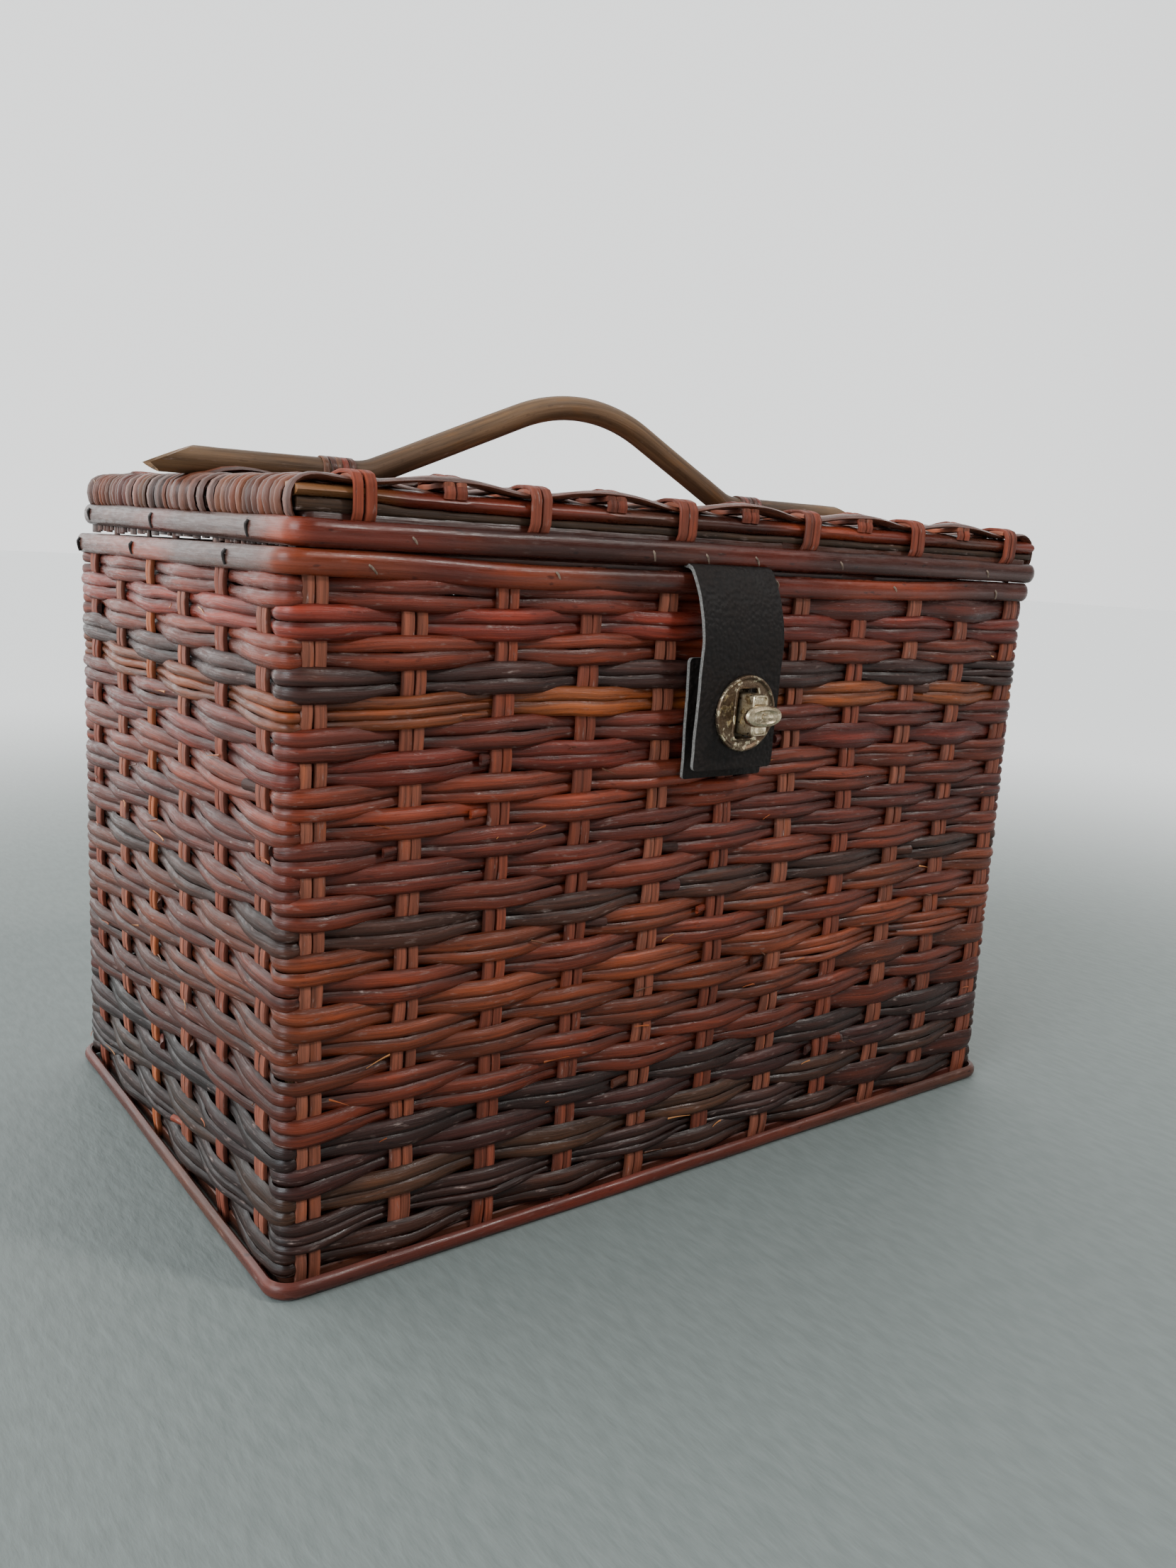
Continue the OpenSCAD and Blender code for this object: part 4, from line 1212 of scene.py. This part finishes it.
def handle_bindings():
    """Skeins that lash the cane's tails to the lid beside each foot of the arch."""
    angle = np.linspace(-1.95, 1.95, 26)[3:-3]
    foot_y, foot_z = np.array([9.5, 7.6, 6.4]), np.array([271.6, 272.4, 273.4])
    y = np.concatenate([-foot_y, (HANDLE_R + 0.02) * np.sin(angle), foot_y[::-1]])
    z = np.concatenate([foot_z, TAIL_Z + (HANDLE_R + 0.02) * np.cos(angle), foot_z[::-1]])
    for foot, way, node in ((LEFT_FOOT, -1, "handle_binding_left"),
                            (RIGHT_FOOT, 1, "handle_binding_right")):
        strands = Strands()
        for i in range(5):
            x0 = foot + way * (2.5 + 2.75 * i)
            lean = rng.uniform(-0.10, 0.10)
            x = x0 + lean * y + waver(y * 9, 0.2, 60)
            centre = columns(x, y, z)
            ahead = tangents(centre)
            side = squared_to(X_AXIS, ahead)
            out = np.cross(side, ahead)
            strands.sweep(centre, out, side, 1.42, 0.7,
                          tone(rng.choice(["chestnut", "umber", "olive"]), 0.15), STRIP)
        strands.place(node + "_skeins", WILLOW, "lid", "willow_stake", node)


# ---- leather ----

def leather_strip(name, path, toward, half_width, edges, x_mid, slot=None):
    """A strap along path (y, z points of its middle), its outer face toward the given
    (y, z) way. x_mid is its middle, and its ends have round corners:
    edges gives each end's corner radius. slot is (half width, start, end) of a hole,
    with start and end as running lengths."""
    run = run_along(path)
    slot_share = slot[0] / half_width if slot else 0.3
    shares = np.array([0.1, slot_share, 0.42, 0.55, 0.7, 0.86, 0.97, 1])
    shares = np.concatenate([-shares[::-1], shares])
    insets = np.zeros(len(run))
    for distance, radius in ((run, edges[0]), (run[-1] - run, edges[1])):
        if radius:
            near = np.clip(radius - distance, 0, radius)
            insets = np.maximum(insets, radius - np.sqrt(radius ** 2 - near ** 2))
    ragged = waver(run, 0.16, 23)
    middle = np.zeros((len(run), len(shares), 3))
    middle[:, :, 0] = x_mid + shares * (half_width - insets)[:, None] + ragged[:, None]
    middle[:, :, 1:] = path[:, None, :]
    out = np.zeros((len(run), 3))
    out[:, 1:] = path_normals(path, toward)
    front = middle + out[:, None, :] * LEATHER_T / 2
    back = middle - out[:, None, :] * LEATHER_T / 2
    rows, cols = len(run), len(shares)
    points = np.concatenate([front.reshape(-1, 3), back.reshape(-1, 3)])
    faces, open_edges = [], {}
    for k in range(rows - 1):
        for j in range(cols - 1):
            if slot and abs(shares[j] + shares[j + 1]) < 1.9 * slot_share \
                    and slot[1] < (run[k] + run[k + 1]) / 2 < slot[2]:
                continue
            quad = [k * cols + j, (k + 1) * cols + j, (k + 1) * cols + j + 1, k * cols + j + 1]
            faces.append(quad)
            for a, b in zip(quad, quad[1:] + quad[:1]):
                if not open_edges.pop((b, a), False):
                    open_edges[a, b] = True
    total = rows * cols
    faces += [[i + total for i in reversed(quad)] for quad in faces]
    edge_faces = [[b, a, a + total, b + total] for a, b in open_edges]
    obj = make_object(name, points, faces + edge_faces, [LEATHER, LEATHER_EDGE], 40)
    ids = [0] * len(faces) + [1] * len(edge_faces)
    obj.data.polygons.foreach_set("material_index", ids)
    bevel = obj.modifiers.new("soft_edge", "BEVEL")
    bevel.width = 0.28 * MM
    bevel.segments = 2
    bevel.limit_method = "ANGLE"
    bevel.angle_limit = math.radians(50)
    bevel.material = 0
    apply_modifiers(obj)
    return obj


def apply_modifiers(obj):
    """Bakes the object's modifiers into its mesh."""
    graph = bpy.context.evaluated_depsgraph_get()
    mesh = bpy.data.meshes.new_from_object(obj.evaluated_get(graph))
    obj.modifiers.clear()
    obj.data = mesh


def path_normals(path, toward):
    """Unit normals of a (y, z) path, on the side that faces toward."""
    ahead = tangents(path)
    normal = columns(ahead[:, 1], -ahead[:, 0])
    return normal * np.sign(normal @ np.array(toward))[:, None]


BOW_Y, BOW_Z, BOW_R = -130.4, 221.0, 49.0
BOW_SWEEP = math.radians(33.5)
STRAP_LEAN = math.radians(2.7)
STRAP_END_Z = 174.0
LOCK_PLATE_Y = BOW_Y + (BOW_Z - LOCK_Z) * math.tan(STRAP_LEAN)


def strap_path():
    """The strap's middle from the nailed end between the lid's rim strips to its foot."""
    points = [(-115.1, 259.4), (-115.1, 256.0), (-115.15, 253.6), (-115.7, 251.9),
              (-117.2, 251.0), (-119.2, 250.75), (-120.8, 250.1), (-121.75, 249.0)]
    points += [(BOW_Y + BOW_R - BOW_R * math.cos(a), BOW_Z + BOW_R * math.sin(a))
               for a in np.linspace(BOW_SWEEP, 0, 12)]
    lock_rows = [LOCK_Z + 10.5, LOCK_Z + 5, LOCK_Z, LOCK_Z - 5, LOCK_Z - 10.5]
    levels = [217, 213, 210, *lock_rows, 182.5, 180, 178, 177, 176, 175.2, 174.6, 174.2,
              STRAP_END_Z]
    points += [(BOW_Y + (BOW_Z - z) * math.tan(STRAP_LEAN), z) for z in levels]
    return np.array(points)


def strap():
    path = strap_path()
    run = run_along(path)
    top = run[np.argmin(np.abs(path[:, 1] - LOCK_Z - 10.5))]
    low = run[np.argmin(np.abs(path[:, 1] - LOCK_Z + 10.5))]
    obj = leather_strip("latch_strap_leather", path, (-1.0, 0.4), STRAP_W / 2,
                        (0, 2.2), STRAP_X, (5.9, top, low))
    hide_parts("strap_anchor", "latch_strap")
    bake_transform(obj)


def hinges():
    """One leather per hinge, nailed to the wall and to the lid, bent at the rim."""
    levels = np.concatenate([[213, 213.3, 214, 215], np.linspace(218, 246, 9),
                             np.linspace(248, 258, 11), [262, 266, 269.5, 271.2, 271.9, 272.2]])
    y = HINGE_Y + 0.35 * np.exp(-((levels - 252.4) / 3.0) ** 2)
    path = columns(y, levels)
    for side, name in ((-1, "left"), (1, "right")):
        obj = leather_strip(f"hinge_{name}_leather", path, (1.0, 0.0),
                            HINGE_W / 2, (2.2, 2.2), side * HINGE_X)
        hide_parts(f"hinge_lower_{name}", f"hinge_upper_{name}")
        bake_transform(obj)


def tab():
    low, high = box_mm("latch_tab")
    levels = np.concatenate([[low[2], low[2] + 0.25, low[2] + 0.8, low[2] + 1.8],
                             np.linspace(low[2] + 4, high[2] - 4, 12),
                             [high[2] - 1.8, high[2] - 0.8, high[2] - 0.25, high[2]]])
    path = columns(np.full(len(levels), (low[1] + high[1]) / 2), levels)
    obj = leather_strip("latch_tab_leather", path, (-1.0, 0.0),
                        (high[0] - low[0]) / 2, (1.2, 1.8), (low[0] + high[0]) / 2)
    settle(obj, "basket", "leather", "latch_tab")


# ---- lock ----

LOOP_POINTS = 96


def round_loop(radius):
    turn = full_turn(LOOP_POINTS)
    return columns(radius * np.cos(turn), radius * np.sin(turn))


def block_loop(width, height, power=9.0):
    """An upright rounded block, one point for each direction from its middle. A higher
    power gives squarer corners, and 2 gives an oval."""
    turn = full_turn(LOOP_POINTS)
    c, s = np.cos(turn), np.sin(turn)
    reach = (np.abs(c * 2 / width) ** power + np.abs(s * 2 / height) ** power) ** (-1 / power)
    return columns(reach * c, reach * s)


def metal(name, loops, material, place, body, node, open_middle=False):
    """A turned or pressed metal piece: loops is a list of (outline, distance towards
    the viewer), joined in turn. place puts its (x, forward, z) points in the frame."""
    count = len(loops[0][0])
    points = np.concatenate([
        columns(loop[:, 0], np.full(count, forward), loop[:, 1])
        for loop, forward in loops])
    faces = []
    last = len(loops) if open_middle else len(loops) - 1
    for k in range(last):
        here, ahead = k * count, (k + 1) % len(loops) * count
        for j in range(count):
            n = (j + 1) % count
            faces.append([here + j, ahead + j, ahead + n, here + n])
    if not open_middle:
        faces.append(list(range(count)))
        faces.append(list(range((len(loops) - 1) * count, len(loops) * count))[::-1])
    obj = make_object(name, place(points), faces, [material], 35)
    recalculate_normals(obj)
    settle(obj, body, "lock_metal", node)


def recalculate_normals(obj):
    mesh = bmesh.new()
    mesh.from_mesh(obj.data)
    bmesh.ops.recalc_face_normals(mesh, faces=mesh.faces)
    mesh.to_mesh(obj.data)
    mesh.free()


def on_plate(points):
    """Points about the lock's middle on the strap, which leans with it."""
    c, s = math.cos(STRAP_LEAN), math.sin(STRAP_LEAN)
    forward, up = points[:, 1], points[:, 2]
    y = -forward * c - up * s
    z = -forward * s + up * c
    return columns(points[:, 0] + LOCK_X, y + LOCK_PLATE_Y, z + LOCK_Z)


def on_wall(points):
    """Points about the lock's middle on the wall: (x, distance towards -Y, z)."""
    return columns(points[:, 0] + LOCK_X, -points[:, 1], points[:, 2] + LOCK_Z)


def rounds(base, *rings):
    """Round loops given as (radius, distance from base)."""
    return [(round_loop(radius), base + forward) for radius, forward in rings]


def blocks(base, *rings):
    """Upright blocks given as (width, height, distance from base)."""
    return [(block_loop(*size), base + forward) for *size, forward in rings]


def ovals(base, *rings):
    """Ovals that lie across, given as blocks are."""
    return [(block_loop(*size, 2.3)[:, ::-1], base + forward) for *size, forward in rings]


def lock():
    """The plate on the strap, the washer behind it, and the boss and button they pass."""
    face = LEATHER_T / 2 + 0.1
    plate = blocks(-face, (11.3, 20.3, -0.9), (10.4, 19.4, -0.9))
    plate += blocks(face, (10.4, 19.4, 0.8), (10.8, 19.8, 1.25), (11.6, 20.6, 1.4),
                    (12.3, 21.2, 1.3), (12.7, 21.6, 0.95))
    plate += rounds(face, (11.6, 0.8), (12.3, 0.8), (12.9, 0.75), (13.3, 0.9), (13.6, 1.3),
                    (13.95, 1.6), (14.35, 1.65), (14.75, 1.45), (15.0, 0.95), (15.0, 0.2),
                    (14.8, 0))
    plate += blocks(face, (11.3, 20.3, 0))
    metal("eyelet_plate_pressed", plate, BRASS_PLATE, on_plate, "latch_strap_swing",
          "eyelet_plate", open_middle=True)
    back = blocks(-face, (11.7, 20.7, -0.95))
    back += rounds(-face, (12.6, -0.95), (13.0, -0.7), (13.0, 0))
    back += blocks(-face, (11.7, 20.7, 0))
    metal("eyelet_back_washer", back, BRASS_PLATE, on_plate, "latch_strap_swing",
          "eyelet_back_plate", open_middle=True)

    base_low, base_high = box_mm("latch_base")
    disc_back, boss_front = -base_high[1], -base_low[1]
    boss = rounds(disc_back, (12.9, 0), (13.0, 0.4), (13.0, 1.1), (12.6, 1.5), (11.2, 1.5))
    boss += blocks(disc_back, (7.8, 16.0, 1.5))
    boss += blocks(boss_front, (7.8, 16.0, -0.9), (7.5, 15.7, -0.3), (6.9, 15.1, 0),
                   (6.1, 14.3, 0), (5.5, 13.7, -0.45))
    boss += rounds(boss_front, (2.0, -0.45))
    metal("latch_base_boss", boss, BRASS_BRIGHT, on_wall, "basket", "latch_base")

    front, back_face = -box_mm("turn_button")[0][1], boss_front + 0.12
    button = ovals(back_face, (2.9, 2.95, -0.4), (3.0, 3.05, 0), (7.6, 17.4, 0),
                   (8.4, 18.2, 0.35), (8.6, 18.4, 1.0), (8.3, 18.1, 1.8), (7.5, 17.2, 2.5))
    button += ovals(front, (6.2, 15.4, -0.2), (5.4, 13.8, 0), (4.9, 12.6, -0.15),
                    (4.2, 9.6, -0.55), (2.5, 2.6, -0.7), (2.3, 2.4, -0.35),
                    (1.5, 1.6, -0.15), (0.6, 0.7, -0.1))
    metal("turn_button_knob", button, BRASS_BRIGHT, on_wall, "turn_button_body",
          "turn_button")


NAIL_DOME = [(2.6, 0.0), (2.65, 0.15), (2.4, 0.55), (1.7, 0.82), (0.8, 0.95)]
NAIL_FACE = HINGE_Y + LEATHER_T / 2


def hinge_nails():
    """Domed nail heads on the hinge leathers, as rings of (radius, height)."""
    turn = full_turn(28)
    for body, node, shift, near_z, far_z in (
            ("basket", "hinge_lower_nails", 0, 246.0, 222.0),
            ("lid", "hinge_upper_nails", LID_SHIFT, 255.0, 265.7)):
        strands = Strands()
        for side in (-1, 1):
            for dx, z in ((-8, near_z), (8, near_z), (0, far_z)):
                x = side * HINGE_X - shift + dx
                rings = [columns(x + r * np.cos(turn), NAIL_FACE + h, z + r * np.sin(turn))
                         for r, h in NAIL_DOME]
                strands.add_rings(np.stack(rings), linear((120, 110, 90)), np.zeros(28))
        strands.place(node + "_domed", BRASS_PLATE, body, "lock_metal", node, sharp=40)


# ---- everything ----

wall_bands()
cut_ends_and_splinters()
wall_stakes("front_stakes", 0, FRONT_STAKES)
wall_stakes("right_stakes", 1, SIDE_STAKES)
wall_stakes("back_stakes", 2, FRONT_STAKES)
wall_stakes("left_stakes", 3, SIDE_STAKES, orange=2)
basket_rims()
base_weave()
base_frame()
rim_pins("body_rim", RIM_LOW[2] + 4.0, [x * FRONT_PITCH / 2 for x in (-9, -5, -1, 1, 5, 9)],
         [-73, 30, 108], "basket", "body_rim_pins")
lid_weave()
lid_stakes()
lid_lashings()
lid_bars()
lid_rims()
rim_pins("lid_rim", LID_Z + LID_RIM_H / 2, [-148, -50, -24, 2, 50, 148], [-84, 16, 104],
         "lid", "lid_rim_pins")
handle()
handle_bindings()
tab()
strap()
hinges()
lock()
hinge_nails()

# CAD nodes that stay get their materials here
kept = {f"corner_post_{y}_{x}": POST_WOOD for y in ("front", "back") for x in ("left", "right")}
kept.update(latch_rivets=BRASS_PLATE, latch_washer=BRASS_PLATE)
for name, material in kept.items():
    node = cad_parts[name]
    node.data.materials.clear()
    node.data.materials.append(material)


# ---- stage, light and camera ----

def floor():
    """A plain pale grey floor that lightens into the room away from the basket."""
    n, place = placed_nodes("table_top")
    far = n.measured("LENGTH", place)
    grain = n.noise(n.scaled(place, 30.0, 9.0, 1.0), 9.0, 4.0)
    paint = n.mix(n.ramp(grain, 0.3, 0.7), rgba(116, 124, 121), rgba(124, 132, 129))
    colour = n.mix(n.ramp(far, 0.38, 1.5), paint, rgba(240, 241, 240))
    material = n.finish(Base_Color=colour, Roughness=0.62, Normal=n.bump(grain, 0.0004))
    reach = 12000.0
    corners = [(-reach, -reach, 0), (reach, -reach, 0), (reach, reach, 0), (-reach, reach, 0)]
    make_object("table", corners, [[0, 1, 2, 3]], [material])


def sun(name, energy, colour, aim, softness):
    lamp = bpy.data.lights.new(name, "SUN")
    lamp.energy = energy
    lamp.color = colour
    lamp.angle = math.radians(softness)
    turned = Vector(aim).to_track_quat("-Z", "Y").to_euler()
    linked(name, lamp).rotation_euler = turned


TOWARD_WALL = (-0.08, 1.0, 0.0)  # the pale wall behind the basket
TOWARD_GLOW = (-0.6, 0.78, 0.18)  # its brightest part


def lights():
    """A room that is brightest at the wall, a window at the left, and a weak fill."""
    n = Nodes(bpy.data.worlds.new("room"), "Background")
    place = n.place("Generated")
    strengths = []
    for aim, low, high, dim, bright in ((TOWARD_WALL, -0.55, 0.62, 0.30, 1.66),
                                        (TOWARD_GLOW, 0.72, 1.0, 0.0, 1.2)):
        strengths.append(n.ramp(n.measured("DOT_PRODUCT", place, aim), low, high, dim, bright))
    bpy.context.scene.world = n.finish(Color=(0.97, 0.985, 0.985, 1.0),
                                       Strength=n.plus(*strengths))
    sun("window", energy=2.9, colour=(0.86, 0.94, 1.0), aim=(0.95, 0.16, -0.45), softness=40)
    sun("room_fill", energy=1.25, colour=(1.0, 0.97, 0.93), aim=(-0.5, 0.62, -0.75),
        softness=9)


CAMERA_AT = Vector((-335.0, -473.4, 253.1)) * MM
YAW, PITCH, ROLL = math.radians(36.73), math.radians(-10.6), math.radians(3.1)


def camera():
    """The camera stands at the front left corner, a little above the lid."""
    data = bpy.data.cameras.new("camera")
    data.sensor_fit = "VERTICAL"
    data.sensor_height = 36.0
    data.lens = 28.17
    data.clip_start = 0.01
    forward = Vector((math.sin(YAW) * math.cos(PITCH), math.cos(YAW) * math.cos(PITCH),
                      math.sin(PITCH)))
    level_right = Vector((math.cos(YAW), -math.sin(YAW), 0))
    level_up = level_right.cross(forward)
    right = level_right * math.cos(ROLL) + level_up * math.sin(ROLL)
    up = level_up * math.cos(ROLL) - level_right * math.sin(ROLL)
    matrix = Matrix((right, up, -forward)).transposed().to_4x4()
    matrix.translation = CAMERA_AT
    obj = linked("camera", data)
    obj.matrix_world = matrix
    bpy.context.scene.camera = obj


floor()
lights()
camera()
